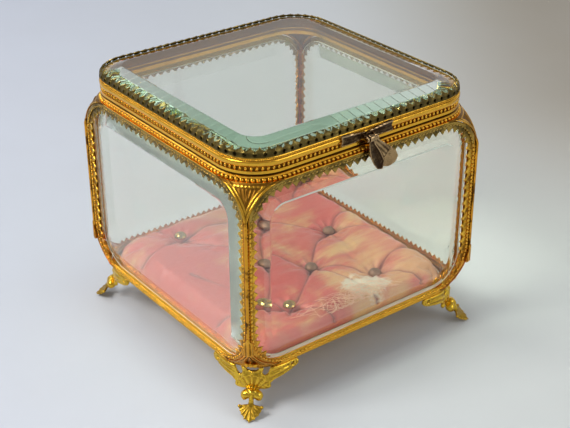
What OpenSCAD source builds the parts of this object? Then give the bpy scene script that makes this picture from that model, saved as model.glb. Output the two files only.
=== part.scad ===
// Glazed casket: gilt brass frame, bevelled panes, hinged bevelled lid, tufted cushion, cast feet.
// Millimetres. The origin is at the centre of the plan, on the plane that the feet stand on.
// The front, with the clasp, faces -Y. The hinge is at the back, +Y.

/* [Body] */
// Width and depth across the flat faces of the body
body_w = 140; // [116:1:180]
// Height of the side frames, from the base ring to the rim
side_h = 94; // [75:0.5:120]
// Radius of the rounded corners of each side frame
side_r = 21.5; // [17.5:0.1:26]
// Height of the feet, from the floor to the side frames
foot_h = 25.5; // [22:0.5:32]
// Clearance between pieces that are soldered or seated together
fit = 0.1; // [0.05:0.01:0.2]

/* [Side panes] */
// Thickness of a side pane at its middle
pane_t = 3.6; // [3:0.02:4.4]
// Thickness of a side pane at its edge
pane_edge_t = 2.2; // [1.6:0.1:2.6]
// Width of the bevel round a side pane
pane_bevel = 9.5; // [6:0.5:11]
// Depth of the pane's outer face behind the frame's face
pane_depth = 0.8; // [0.6:0.1:1]
// Distance from the frame's top edge to the pane's top edge
pane_top_gap = 2; // [1:0.1:2.5]
// Distance from the frame's bottom edge to the pane's bottom edge
pane_bottom_gap = 0.5; // [0.4:0.1:1]

/* [Toothed bezels] */
// Width of a bezel's flat band along the sides
band_w = 4.5; // [3.5:0.1:5]
// Width of a bezel's band along the top
top_band_w = 3.3; // [2.8:0.1:4]
// Width of a bezel's band along the bottom
bottom_band_w = 1.9; // [1.6:0.1:2.4]
// Length of the teeth beyond the band
tooth_len = 2.2; // [1:0.1:2.6]
// Spacing of the teeth
tooth_pitch = 4.4; // [3:0.1:6]
// Thickness of the toothed sheet
sheet_t = 0.8; // [0.5:0.1:0.8]
// Thickness of the raised band
band_t = 1.5; // [1.3:0.1:1.6]

/* [Corner posts] */
// Radius of the half-round ridge on a post
ridge_r = 1.6; // [1.2:0.1:1.8]
// Width of a post on each face
post_w = 2.2; // [2:0.1:2.8]
// Width of the inner angle's legs
liner_w = 7.5; // [5:0.5:10]
// Thickness of the inner angle
liner_t = 0.7; // [0.5:0.1:0.9]

/* [Base] */
// Thickness of the base plate
plate_t = 0.8; // [0.6:0.1:1.2]
// Height of the base ring
ring_h = 2.2; // [1.8:0.1:3]
// Height of the inner gallery above the base plate
gallery_h = 8; // [5:0.5:10]
// Height of its front and left runs, kept low so that the cushion shows from there
gallery_low_h = 2.4; // [1.5:0.1:4]
// Thickness of the board under the cushion
board_t = 2; // [1.5:0.1:3]
// Height of the cushion's side
cushion_side = 5; // [3:0.5:8]
// Height of the cushion's crown above its side
crown_h = 5; // [3:0.5:8]
// Diameter of a tufting button
button_d = 6.8; // [4:0.1:9]

/* [Rim] */
// Height of the body rim, from the side frames to the seam
rim_h = 3.4; // [3.2:0.1:5]
// How far the rim's seam stands in from the body's face
rim_inset = 1.4; // [1:0.1:2]
// Thickness of the stamped rim and lid walls
wall_t = 1.2; // [0.8:0.1:1.5]
// Width of the ledge inside the rim
rim_ledge = 3.2; // [2.5:0.1:4]
// Thickness of the rim's flange, which lies on the side frames
flange_t = 0.5; // [0.4:0.05:0.6]
// Radius of the bead rows on the rim and the lid
bead_r = 0.7; // [0.5:0.05:0.75]

/* [Lid] */
// Gap between the rim and the closed lid
seam_gap = 0.2; // [0.1:0.05:0.4]
// Height of the lid band, from the seam to the glass ledge
lid_h = 7.9; // [7:0.1:11]
// Thickness of the lid glass at its middle
lid_glass_t = 5; // [4:0.1:7]
// Thickness of the lid glass at its edge
lid_edge_t = 2.7; // [2:0.1:3.5]
// Width of the bevel round the lid glass
lid_bevel = 10; // [6:0.5:13]
// How far the lid glass stands in from the lid band's face
lid_glass_inset = 1.6; // [1.4:0.1:2.5]
// Width of the ledge that carries the lid glass
lid_ledge = 5.5; // [4:0.1:7]
// How far the gallery's teeth reach in over the bevel
gallery_reach = 3.1; // [2.6:0.1:4]

/* [Hinge] */
// Length of the hinge
hinge_len = 60; // [40:1:90]
// Radius of the hinge barrel
barrel_r = 1.9; // [1.6:0.02:2.3]
// Radius of the hinge pin
hinge_pin_r = 0.8; // [0.6:0.05:1]
// Radial running clearance of a pin in its bore
pin_clear = 0.05; // [0.02:0.01:0.1]
// Distance of the hinge axis outside the body's face
hinge_out = 2.8; // [2.6:0.1:3.4]
// Thickness of a hinge leaf
leaf_t = 0.8; // [0.6:0.1:1]

/* [Clasp] */
// Sideways place of the clasp
clasp_x = -2; // [-10:1:10]
// Width across the two bow wings
bow_w = 31; // [24:1:40]
// Height of a bow wing
wing_h = 5; // [4:0.5:6]
// Radius of the clasp's pin
clasp_pin_r = 0.7; // [0.5:0.05:0.9]
// Radius of the knot round the pin
knot_r = 1.7; // [1.5:0.1:1.9]
// Length of the tails below the pin
tail_len = 17.5; // [12:0.5:22]

/* [Feet] */
// Length of a foot's wing past the corner's curve
wing_len = 7; // [3:0.5:12]
// Radius of the knop
knop_r = 4.7; // [3.5:0.1:5.5]
// Height of the knop's middle above the floor
knop_z = 9.5; // [7:0.5:11]
// Width of the fan toe
toe_w = 11.3; // [8:0.1:14]

/* [Hidden] */
$fn = 64;
gold = [0.83, 0.62, 0.16];
old_gold = [0.55, 0.42, 0.16];
copper = [0.45, 0.27, 0.17];
clear_glass = [0.66, 0.8, 0.72, 0.45];
satin = [0.85, 0.5, 0.5];
card = [0.75, 0.7, 0.6];

half = body_w / 2;
side_z0 = foot_h;
side_z1 = foot_h + side_h;
side_zc = (side_z0 + side_z1) / 2;
seam_z = side_z1 + rim_h;
lid_z0 = seam_z + seam_gap;
ledge_z = lid_z0 + lid_h;
glass_z = ledge_z + fit;
bevel_z = glass_z + lid_edge_t;
// Outline of the seam, which the rim, the lid and their trim are offset from
seam_half = half - rim_inset;
seam_r = side_r - 0.6;

// The two panes at a corner pass behind each other's edge with this much air
pane_back = pane_depth + pane_t;
pane_half = half - pane_back - 0.3;
pane_z0 = side_z0 + pane_bottom_gap;
pane_z1 = side_z1 - pane_top_gap;
pane_r = side_r - 4;
// The posts fill the body's edges where the frames' corners curve away from them
post_rise = sqrt(side_r * side_r - (side_r - post_w) * (side_r - post_w));
post_z0 = side_z0 + side_r - post_rise;
post_z1 = side_z1 - side_r + post_rise;
// Each corner is a ball whose face passes through the three arcs that meet there
ball_r = side_r * sqrt(2) + 0.1;
ball_c = half - side_r;

plate_z1 = side_z0 - ring_h + plate_t;
plate_half = half - 1.8;
gallery_z1 = plate_z1 + fit + gallery_h;
gallery_half = half - pane_back - 0.3;
board_z0 = plate_z1 + fit;
cushion_half = gallery_half - sheet_t - 0.5;
cushion_r = side_r - 5;
cushion_z0 = board_z0 + board_t + fit;
cushion_z1 = cushion_z0 + cushion_side;
tuft_drop = 2.5;
// Tufting points, as shares of the cushion's half width
tufts = [[-0.46, 0.71], [-0.42, -0.67], [0.1, -0.28], [0.59, 0.1], [0.45, -0.66], [0.12, 0.68]];

hinge_y = half + hinge_out;
hinge_z = (seam_z + lid_z0) / 2;
knuckles = 5;
knuckle_gap = 0.2;
knuckle_len = (hinge_len - knuckle_gap * (knuckles - 1)) / knuckles;
clasp_y = -(half + 3);
clasp_z = lid_z0 + 4.2;
// The rim's bead row lies on its flange, and the catch just above the beads
bead_z = side_z1 + fit + flange_t + fit / 2 + bead_r;
catch_z = bead_z + bead_r + fit;
catch_out = half + 0.6;
knot_w = 4;
nose_reach = -(clasp_y + 0.2) - catch_out - 0.3;

// ---- Shared shapes ----

module rounded_rect(hx, hy, r) {
    square([2 * (hx - r), 2 * hy], center = true);
    square([2 * hx, 2 * (hy - r)], center = true);
    for (sx = [-1, 1], sy = [-1, 1]) translate([sx * (hx - r), sy * (hy - r)]) circle(r);
}

// Sweeps a section round a rounded rectangle: the section's x is the offset outward from it
module sweep(hx, hy, r) {
    for (turn = [0, 180]) rotate([0, 0, turn]) {
        translate([hx - r, -hy, 0]) rotate([90, 0, -90]) linear_extrude(2 * (hx - r)) children();
        translate([hx, hy - r, 0]) rotate([90, 0, 0]) linear_extrude(2 * (hy - r)) children();
        translate([hx - r, r - hy, 0]) rotate([0, 0, -90])
            rotate_extrude(angle = 90) translate([r, 0]) children();
        translate([hx - r, hy - r, 0]) rotate_extrude(angle = 90) translate([r, 0]) children();
    }
}

// A bevelled pane lying flat: its back at z = 0, its bevel facing up
module pane(hx, hy, r, t, edge_t, bevel) {
    core = bevel + 0.5;
    linear_extrude(t) rounded_rect(hx - bevel, hy - bevel, r - bevel);
    sweep(hx, hy, r) polygon([[-core, 0], [0, 0], [0, edge_t], [-bevel, t], [-core, t]]);
}

// Puts a shape drawn flat on side 0 front, 1 right, 2 back or 3 left, its top facing out
module on_side(side, depth, z) {
    rotate([0, 0, 90 * side]) translate([0, depth - half, z]) rotate([90, 0, 0]) children();
}

// Corner 0 is front left, 1 front right, 2 back right, 3 back left; drawn at front left
module at_corner(corner) {
    rotate([0, 0, 90 * corner]) children();
}

// ---- Panes and bezels ----

module side_glass(side) {
    color(clear_glass) on_side(side, pane_back, (pane_z0 + pane_z1) / 2)
        pane(pane_half, (pane_z1 - pane_z0) / 2, pane_r, pane_t, pane_edge_t, pane_bevel);
}

// Points along the bezel's opening, alternating between the band's edge and the tooth tips
function arc_points(cx, cy, r, a0, a1, teeth) = [
    for (i = [0 : 2 * teeth]) let (
        a = a0 + (a1 - a0) * i / (2 * teeth),
        q = r - (i % 2) * tooth_len)
        [cx + q * cos(a), cy + q * sin(a)]];
function run_points(p, q, inward, teeth) = [
    for (i = [1 : 2 * teeth - 1]) let (
        s = i / (2 * teeth),
        k = (i % 2) * tooth_len)
        [p[0] + (q[0] - p[0]) * s + inward[0] * k, p[1] + (q[1] - p[1]) * s + inward[1] * k]];

module bezel_opening() {
    hx = half - band_w;
    hy = side_h / 2 - top_band_w;
    low = side_h / 2 - bottom_band_w;
    r = side_r - band_w;
    arc_teeth = max(2, round(PI / 2 * r / tooth_pitch));
    side_teeth = max(2, round((2 * hy - 2 * r) / tooth_pitch));
    top_teeth = max(2, round((2 * hx - 2 * r) / tooth_pitch));
    polygon(concat(
        [[-hx + r, -low], [hx - r, -low]],
        [for (a = [-75 : 15 : -15]) [hx - r + r * cos(a), -hy + r + (r + low - hy) * sin(a)]],
        [[hx, -hy + r]],
        run_points([hx, -hy + r], [hx, hy - r], [-1, 0], side_teeth),
        arc_points(hx - r, hy - r, r, 0, 90, arc_teeth),
        run_points([hx - r, hy], [-hx + r, hy], [0, -1], top_teeth),
        arc_points(-hx + r, hy - r, r, 90, 180, arc_teeth),
        run_points([-hx, hy - r], [-hx, -hy + r], [1, 0], side_teeth),
        [[-hx, -hy + r]],
        [for (a = [195 : 15 : 255]) [-hx + r + r * cos(a), -hy + r + (r + low - hy) * sin(a)]]));
}

module bezel_outline() {
    intersection() {
        rounded_rect(half - fit, side_h / 2 - fit, side_r - fit);
        square([2 * (half - post_w - fit), side_h], center = true);
    }
}

module side_bezel(side) {
    plate_depth = 1.2;
    color(old_gold) on_side(side, 0, side_zc) {
        translate([0, 0, -plate_depth]) linear_extrude(sheet_t) difference() {
            bezel_outline();
            bezel_opening();
        }
        translate([0, 0, -band_t]) linear_extrude(band_t) difference() {
            bezel_outline();
            translate([0, (bottom_band_w - top_band_w) / 2])
                rounded_rect(half - band_w + 0.2, (side_h - top_band_w - bottom_band_w) / 2 + 0.2,
                    side_r - band_w + 0.2);
        }
    }
}

// ---- Corners ----

// A half-round ridge over a square bar, with a core between the panes' edges
module corner_post(corner) {
    core = pane_back - band_t;
    color(gold) at_corner(corner)
        translate([-half, -half, post_z0]) linear_extrude(post_z1 - post_z0) union() {
            translate([ridge_r - 1, ridge_r - 1]) circle(ridge_r);
            square(post_w);
            translate([band_t + fit, band_t + fit]) square(core);
        }
}

// The part of a ball-shaped shell between two side frames and the ring above or below them
module gusset(corner, z_plane, z_ball, z_post) {
    shell_t = 0.8;
    at_corner(corner) difference() {
        intersection() {
            translate([-ball_c, -ball_c, z_ball]) difference() {
                sphere(ball_r);
                sphere(ball_r - shell_t);
            }
            translate([-half, -half, min(z_plane, z_post)])
                cube([side_r, side_r, abs(z_plane - z_post)]);
        }
        for (side = [0, 3]) on_side(side, pane_back + 1, side_zc)
            linear_extrude(pane_back + 2) rounded_rect(half, side_h / 2, side_r);
    }
}

module upper_gussets() {
    color(gold) for (corner = [0 : 3])
        gusset(corner, side_z1, side_z1 - side_r, post_z1 + fit);
}

module lower_gussets() {
    color(gold) for (corner = [0 : 3])
        gusset(corner, side_z0, side_z0 + side_r, post_z0 - fit);
}

// Angles inside the corners that the panes rest against
module corner_liners() {
    inner = half - pane_back - 0.3;
    color(gold) for (corner = [0 : 3]) at_corner(corner)
        translate([-inner, -inner, side_z0 + side_r / 2]) linear_extrude(side_h - side_r) union() {
            square([liner_w, liner_t]);
            square([liner_t, liner_w]);
        }
}

// ---- Base ----

module base_plate() {
    color(gold) translate([0, 0, plate_z1 - plate_t]) linear_extrude(plate_t)
        rounded_rect(plate_half, plate_half, side_r - 1.8);
}

module base_ring() {
    out = half - 0.4;
    ring_z0 = plate_z1 - plate_t;
    inner = plate_half + fit - out;
    ledge = gallery_half + fit - out;
    color(gold) sweep(out, out, side_r - 0.4)
        polygon([[inner, ring_z0], [-0.5, ring_z0], [0, ring_z0 + 0.5], [0, side_z0 - 0.6],
            [-0.5, side_z0 - fit], [ledge, side_z0 - fit], [ledge, plate_z1 + fit],
            [inner, plate_z1 + fit]]);
}

module base_gallery() {
    low_z1 = plate_z1 + fit + gallery_low_h;
    run = gallery_half - (side_r - pane_back - 0.3);
    color(gold) difference() {
        sweep(gallery_half, gallery_half, side_r - pane_back - 0.3)
            polygon([[-sheet_t, plate_z1 + fit], [0, plate_z1 + fit], [0, gallery_z1],
                [-sheet_t, gallery_z1]]);
        translate([-half, -half, low_z1]) cube([half + run, half - run, gallery_h]);
        translate([-half, -half, low_z1]) cube([half - run, half + run, gallery_h]);
    }
}

// ---- Rim ----

module rim_frame() {
    foot_z = side_z1 + fit;
    color(gold) sweep(seam_half, seam_half, seam_r)
        polygon([[-wall_t, foot_z], [rim_inset, foot_z], [rim_inset, foot_z + flange_t],
            [0, foot_z + flange_t], [0, seam_z], [-rim_ledge, seam_z], [-rim_ledge, seam_z - 1],
            [-wall_t, seam_z - 1]]);
}

// A half-round moulding against an upright face that stands at the seam's outline
module half_round(face, z, r) {
    intersection() {
        translate([face, z]) circle(r);
        translate([face, z - r]) square([r, 2 * r]);
    }
}

module rim_beading() {
    color(gold) sweep(seam_half, seam_half, seam_r)
        half_round(fit / 2, bead_z, bead_r);
}

// ---- Lid ----

module lid_frame() {
    in = -lid_ledge;
    band_z = lid_z0 + 5.7;
    color(gold) sweep(seam_half, seam_half, seam_r) {
        difference() {
            union() {
                translate([-wall_t - 0.8, lid_z0]) square([wall_t + 0.6, lid_h]);
                intersection() {
                    translate([-3, band_z]) circle(3.4);
                    translate([-wall_t - 0.8, lid_z0]) square([wall_t + 1.3, lid_h]);
                }
                translate([in, ledge_z - 1]) square([-in - 0.6, 1]);
                translate([-rim_ledge, lid_z0]) square([rim_ledge - 0.2, 1]);
            }
            translate([-0.8, lid_z0 + 1.2]) square([1.5, 2 * bead_r]);
        }
    }
}

module lid_beading() {
    color(gold) sweep(seam_half, seam_half, seam_r)
        half_round(-0.8 + fit / 2, lid_z0 + 1.2 + bead_r, bead_r - fit);
}

module lid_gallery() {
    tip_z = bevel_z + (gallery_reach - lid_glass_inset) * (lid_glass_t - lid_edge_t) / lid_bevel + 0.25;
    z0 = ledge_z + fit / 2;
    crown = 0.45;
    color(old_gold) sweep(seam_half, seam_half, seam_r)
        polygon([[-0.1, z0], [-0.8, tip_z - 0.1], [-gallery_reach, tip_z + crown],
            [-gallery_reach, tip_z], [-lid_glass_inset + 0.3, tip_z - 0.35],
            [-lid_glass_inset + 0.9, z0]]);
}

module lid_glass() {
    h = seam_half - lid_glass_inset;
    color(clear_glass) translate([0, 0, glass_z])
        pane(h, h, seam_r - lid_glass_inset, lid_glass_t, lid_edge_t, lid_bevel);
}

// ---- Hinge ----

module barrel_piece(i, leaf_y, leaf_z) {
    x0 = -hinge_len / 2 + i * (knuckle_len + knuckle_gap);
    translate([x0, 0, 0]) difference() {
        union() {
            translate([0, hinge_y, hinge_z]) rotate([0, 90, 0]) cylinder(h = knuckle_len, r = barrel_r);
            translate([0, leaf_y, min(hinge_z, leaf_z)])
                cube([knuckle_len, hinge_y - leaf_y, abs(leaf_z - hinge_z)]);
        }
        translate([-1, hinge_y, hinge_z]) rotate([0, 90, 0])
            cylinder(h = knuckle_len + 2, r = hinge_pin_r + pin_clear);
    }
}

module hinge_leaf_body() {
    leaf_y = half - 0.3;
    leaf_z0 = side_z1 + fit + flange_t + fit;
    color(gold) {
        for (i = [0 : 2 : knuckles - 1]) barrel_piece(i, leaf_y, hinge_z - 1.5);
        translate([-hinge_len / 2, leaf_y, leaf_z0]) cube([hinge_len, leaf_t, hinge_z - 1 - leaf_z0]);
    }
}

module hinge_leaf_lid() {
    leaf_y = half - 0.7;
    color(gold) {
        for (i = [1 : 2 : knuckles - 1]) barrel_piece(i, leaf_y, hinge_z + 1.5);
        translate([-hinge_len / 2, leaf_y, hinge_z + 1]) cube([hinge_len, leaf_t, lid_h - 2]);
    }
}

module hinge_pin() {
    color(gold) translate([-hinge_len / 2 - 0.6, hinge_y, hinge_z]) rotate([0, 90, 0])
        cylinder(h = hinge_len + 1.2, r = hinge_pin_r);
}

// ---- Clasp ----

// The bow: two wings soldered to the lid band, and the ears that hold the pin
module clasp_bow() {
    back_y = -(seam_half + 0.4 + fit);
    front_y = back_y - 1.2;
    ear_w = 1.2;
    ear_x = knot_w / 2 + 0.2;
    color(copper) difference() {
        union() {
            translate([clasp_x, back_y, clasp_z + 1.3]) rotate([90, 0, 0]) linear_extrude(1.2)
                polygon([[-bow_w / 2, wing_h / 2], [-bow_w / 2, -wing_h / 2], [-2, -1.2], [2, -1.2],
                    [bow_w / 2, -wing_h / 2], [bow_w / 2, wing_h / 2], [2, 1.2], [-2, 1.2]]);
            for (x = [-ear_x - ear_w, ear_x]) {
                translate([clasp_x + x, clasp_y, clasp_z - 1.4]) cube([ear_w, back_y - clasp_y, 2.8]);
                translate([clasp_x + x, clasp_y, clasp_z]) rotate([0, 90, 0])
                    cylinder(h = ear_w, r = 1.4);
            }
        }
        translate([clasp_x - 10, clasp_y, clasp_z]) rotate([0, 90, 0])
            cylinder(h = 20, r = clasp_pin_r + pin_clear);
        translate([clasp_x - knot_w / 2 - 0.2, front_y - 3, clasp_z - 3])
            cube([knot_w + 0.4, 3, 6]);
    }
}

module clasp_pin() {
    len = knot_w + 0.4 + 2.4 + 0.6;
    color(copper) translate([clasp_x - len / 2, clasp_y, clasp_z]) rotate([0, 90, 0])
        cylinder(h = len, r = clasp_pin_r);
}

// A leaf behind the knot that presses the tails shut
module clasp_spring() {
    y = -(seam_half + 0.4 + fit) - 1.2 - fit;
    color(gold) translate([clasp_x - 1.4, y - 0.3, clasp_z - 1]) cube([2.8, 0.3, 3.2]);
}

// The thumb piece: knot round the pin, two tails that lean to one side, and a nose that snaps
// past the catch
module clasp_tails() {
    tail_t = 0.9;
    tail_y = clasp_y + 0.5;
    lean = 12;
    neck = 1.9;
    nose_h = 0.9;
    color(copper) difference() {
        union() {
            translate([clasp_x - knot_w / 2, clasp_y, clasp_z]) rotate([0, 90, 0])
                cylinder(h = knot_w, r = knot_r);
            translate([clasp_x, tail_y, clasp_z]) rotate([90, 0, 0]) linear_extrude(tail_t)
                polygon([[-neck, 0], [neck, 0], [neck, -neck], [lean + 4.5, 2 - tail_len],
                    [lean + 1.5, -tail_len], [lean - 3, 1 - tail_len], [lean / 2 + 1, -tail_len / 2],
                    [lean / 2, 0.5 - tail_len], [lean / 2 - 4, -tail_len], [-neck, -neck]]);
            translate([clasp_x + 0.8, tail_y - 0.3, catch_z - 0.3 - nose_h]) cube([3.4, nose_reach, nose_h]);
        }
        translate([clasp_x - knot_w, clasp_y, clasp_z]) rotate([0, 90, 0])
            cylinder(h = 2 * knot_w, r = clasp_pin_r + pin_clear);
    }
}

// A lip on the rim; the nose springs past its outer edge
module clasp_catch() {
    color(gold) translate([clasp_x + 0.5, -catch_out, catch_z])
        cube([4, catch_out - seam_half - fit / 2, 1]);
}

// ---- Cushion ----

module cushion_board() {
    color(card) translate([0, 0, board_z0]) linear_extrude(board_t)
        rounded_rect(cushion_half, cushion_half, cushion_r);
}

module cushion() {
    slope = 9;
    color(satin) difference() {
        union() {
            translate([0, 0, cushion_z0]) linear_extrude(cushion_side)
                rounded_rect(cushion_half, cushion_half, cushion_r);
            translate([0, 0, cushion_z1 - 0.1]) linear_extrude(crown_h + 0.1)
                rounded_rect(cushion_half - slope, cushion_half - slope, cushion_r - slope);
            sweep(cushion_half, cushion_half, cushion_r)
                polygon([[-slope - 0.5, cushion_z1 - 0.1], [0, cushion_z1 - 0.1], [0, cushion_z1],
                    [-slope, cushion_z1 + crown_h], [-slope - 0.5, cushion_z1 + crown_h]]);
        }
        for (t = tufts) translate([t[0] * cushion_half, t[1] * cushion_half,
            cushion_z1 + crown_h - tuft_drop]) cylinder(h = tuft_drop + 1, r = button_d / 2 + 0.4);
    }
}

module cushion_buttons() {
    color(gold) for (t = tufts)
        translate([t[0] * cushion_half, t[1] * cushion_half, cushion_z1 + crown_h - tuft_drop + 0.2])
            intersection() {
                scale([1, 1, 0.75]) sphere(button_d / 2);
                cylinder(h = button_d, r = button_d);
            }
}

// ---- Feet ----

// Outline of a wing beyond the corner's curve, from the curve to its scrolled tip
module wing(top_z, t) {
    rotate([90, 0, 0]) linear_extrude(t)
        polygon([[-0.2, top_z], [wing_len, top_z], [wing_len, top_z - 2.5], [wing_len - 3, top_z - 4.5],
            [-0.2, top_z - 6]]);
}

module foot(corner) {
    top_z = plate_z1 - plate_t - fit;
    wing_t = 1.6;
    out = half - 1;
    knop_s = half * sqrt(2) - 7.5;
    toe_t = 1.8;
    toe_tilt = 46;
    toe_z = knop_z - 2;
    toe_l = toe_z / cos(toe_tilt) + toe_t;
    color(gold) at_corner(corner) {
        translate([-ball_c, -ball_c, 0]) rotate([0, 0, 180]) rotate_extrude(angle = 90)
            translate([side_r - 1 - wing_t, top_z - 6]) square([wing_t, 6]);
        translate([-ball_c, -out + wing_t, 0]) wing(top_z, wing_t);
        mirror([1, -1, 0]) translate([-ball_c, -out + wing_t, 0]) wing(top_z, wing_t);
        // From here the foot is drawn along the plan's diagonal, outward being +X
        rotate([0, 0, 225]) {
            translate([knop_s - 3, 0, 0]) rotate([90, 0, 90]) linear_extrude(3.2)
                polygon([[-5, top_z], [5, top_z], [5.2, top_z - 5], [3, top_z - 8.5], [1.5, knop_z],
                    [-1.5, knop_z], [-3, top_z - 8.5], [-5.2, top_z - 5]]);
            translate([knop_s, 0, knop_z]) rotate_extrude()
                polygon([[0, 4], [1.8, 3.2], [knop_r - 0.6, 1.6], [knop_r, 0], [knop_r - 0.6, -1.4],
                    [1.7, -2.6], [0, -3.4]]);
            intersection() {
                translate([knop_s, 0, toe_z]) rotate([0, -toe_tilt, 0]) rotate([90, 0, 90])
                    linear_extrude(toe_t, center = true)
                    polygon([[-1.6, 1], [1.6, 1], [toe_w / 2, 4.5 - toe_l], [toe_w / 2, 2.4 - toe_l],
                        [toe_w / 4, -toe_l], [-toe_w / 4, -toe_l], [-toe_w / 2, 2.4 - toe_l],
                        [-toe_w / 2, 4.5 - toe_l]]);
                translate([knop_s - toe_w, -toe_w, 0]) cube([4 * toe_w, 2 * toe_w, top_z]);
            }
        }
    }
}

base_plate();
base_ring();
base_gallery();
side_glass(0);  // front_glass
side_glass(1);  // right_glass
side_glass(2);  // back_glass
side_glass(3);  // left_glass
side_bezel(0);  // front_bezel
side_bezel(1);  // right_bezel
side_bezel(2);  // back_bezel
side_bezel(3);  // left_bezel
corner_post(0);  // front_left_post
corner_post(1);  // front_right_post
corner_post(2);  // back_right_post
corner_post(3);  // back_left_post
upper_gussets();
lower_gussets();
corner_liners();
rim_frame();
rim_beading();
hinge_leaf_body();
hinge_pin();
clasp_catch();
cushion_board();
cushion();
cushion_buttons();
foot(0);  // front_left_foot
foot(1);  // front_right_foot
foot(2);  // back_right_foot
foot(3);  // back_left_foot
lid_frame();
lid_beading();
lid_gallery();
lid_glass();
hinge_leaf_lid();
clasp_bow();
clasp_spring();
clasp_pin();
clasp_tails();
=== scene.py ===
import math
import random

import bmesh
import bpy
import numpy as np
from mathutils import Matrix, Vector, noise


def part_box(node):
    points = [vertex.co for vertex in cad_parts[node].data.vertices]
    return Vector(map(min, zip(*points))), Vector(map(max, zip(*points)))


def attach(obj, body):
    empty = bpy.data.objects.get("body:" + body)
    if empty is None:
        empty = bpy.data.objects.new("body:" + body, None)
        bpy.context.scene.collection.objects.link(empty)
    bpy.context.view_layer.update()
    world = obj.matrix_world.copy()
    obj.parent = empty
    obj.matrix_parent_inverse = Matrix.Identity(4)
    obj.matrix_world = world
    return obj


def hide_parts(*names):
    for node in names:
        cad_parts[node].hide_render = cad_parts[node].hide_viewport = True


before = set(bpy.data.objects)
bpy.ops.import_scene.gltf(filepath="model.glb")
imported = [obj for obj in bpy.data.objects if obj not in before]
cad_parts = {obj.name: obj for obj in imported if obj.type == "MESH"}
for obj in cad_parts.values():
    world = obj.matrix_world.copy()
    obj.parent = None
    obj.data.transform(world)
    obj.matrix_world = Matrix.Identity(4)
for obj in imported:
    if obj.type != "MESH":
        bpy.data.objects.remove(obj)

bl_info = {
    "name": "Glass casket box",
    "version": (1, 0, 0),
    "blender": (4, 5, 0),
    "location": "View3D > Sidebar > Casket",
    "description": "Bevelled glass casket in pierced gilt brass, with a tufted satin cushion",
    "category": "Object",
}

# Everything is modelled in millimetres and brought to metres as each piece is finished.
MM = 0.001
QUARTER = math.pi / 2
# Stands a flat piece up: its Y turns upward, and its face to the front
STAND = Matrix.Rotation(QUARTER, 4, "X")
# Changes X and Y over, for the other side of the front left corner
SWAP = Matrix(((0, 1, 0, 0), (1, 0, 0, 0), (0, 0, 1, 0), (0, 0, 0, 1)))
# The side frames: how far out their faces lie, their feet and heads, and their corners' radius
HALF = -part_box("front_bezel")[0][1] / MM
SIDE_Z0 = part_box("front_bezel")[0][2] / MM - 0.1
SIDE_Z1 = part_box("front_bezel")[1][2] / MM + 0.1
SIDE_ZC = (SIDE_Z0 + SIDE_Z1) / 2
SIDE_R = 21.5
# The seam between the body's rim and the lid: half its width, its corners' radius, its height
SEAM_HALF = HALF - 1.4
SEAM_R = SIDE_R - 0.6
SEAM_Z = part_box("rim_frame")[1][2] / MM
# The lid's band: its foot, and the ledge that carries the gallery
LID_Z0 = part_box("lid_frame")[0][2] / MM
LEDGE_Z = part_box("lid_frame")[1][2] / MM
POST_Z0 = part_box("front_left_post")[0][2] / MM
POST_Z1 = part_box("front_left_post")[1][2] / MM
CORNERS = ("front_left", "front_right", "back_right", "back_left")
SIDES = ("front", "right", "back", "left")


# ---- Sizes and colours that a maker would change ----

def length(name, about, value, low, high):
    return bpy.props.FloatProperty(name=name, description=about, default=value * MM,
                                   min=low * MM, max=high * MM, subtype="DISTANCE", unit="LENGTH")


def colour(name, about, value):
    return bpy.props.FloatVectorProperty(name=name, description=about, default=value,
                                         size=3, min=0, max=1, subtype="COLOR")


class CasketSizes(bpy.types.PropertyGroup):
    tooth_pitch: length("Tooth pitch", "From one tooth of a pierced strip to the next", 4.4, 3, 6)
    bead_pitch: length("Bead pitch", "From one bead of the rim to the next", 2.45, 1.8, 4)
    pit_pitch: length("Pit pitch", "From one pit of the lid's band to the next", 2.45, 1.8, 4)
    gallery_lean: bpy.props.FloatProperty(
        name="Gallery lean", description="Rise of the gallery's leaves over the lid's glass",
        default=math.radians(30), min=0.4, max=0.7, subtype="ANGLE", unit="ROTATION")
    cushion_swell: length("Cushion swell", "The most that the stuffing lifts the satin", 5, 1, 8)
    tuft_drop: length("Tuft depth", "How deep the buttons pull the satin", 3.2, 1, 5)


class CasketColours(bpy.types.PropertyGroup):
    gilt: colour("Gilt", "Bright gilding", (0.88, 0.51, 0.055))
    # This colour also serves as painted shade in the seam, along the gussets' tucked edges and on
    # the foot ring
    tarnish_and_shade: colour("Tarnish", "Brown tarnish in the gilding's hollows", (0.19, 0.085, 0.010))
    # This colour also serves as painted shade on the strip behind the lid gallery's leaves
    patina_and_shade: colour("Patina", "Olive patina of the pierced strips", (0.085, 0.062, 0.018))
    copper: colour("Copper", "Copper of the clasp's bright edges", (0.50, 0.35, 0.19))
    glass: colour("Glass", "Green of thick glass", (0.40, 0.80, 0.50))
    rose: colour("Rose", "Rose satin", (0.51, 0.078, 0.065))
    cream: colour("Cream", "Faded parts of the satin", (0.62, 0.38, 0.16))


def sizes():
    return bpy.context.scene.casket_sizes


def colours():
    return bpy.context.scene.casket_colours


# ---- Modelling by hand, in code ----

def rest():
    """Leaves edit mode with nothing selected."""
    if bpy.context.object and bpy.context.object.mode != "OBJECT":
        bpy.ops.object.mode_set(mode="OBJECT")
    bpy.ops.object.select_all(action="DESELECT")


def take(obj, *others):
    """Selects a piece, with others if given, and makes it the active one."""
    rest()
    for o in (*others, obj):
        o.select_set(True)
    bpy.context.view_layer.objects.active = obj
    return obj


def edit(obj):
    """Enters edit mode with the whole piece selected."""
    take(obj)
    bpy.ops.object.mode_set(mode="EDIT")
    bpy.context.tool_settings.mesh_select_mode = (True, True, True)
    pick_all()


def pick_all():
    """In edit mode, selects everything."""
    bpy.ops.mesh.select_all(action="SELECT")


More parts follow.
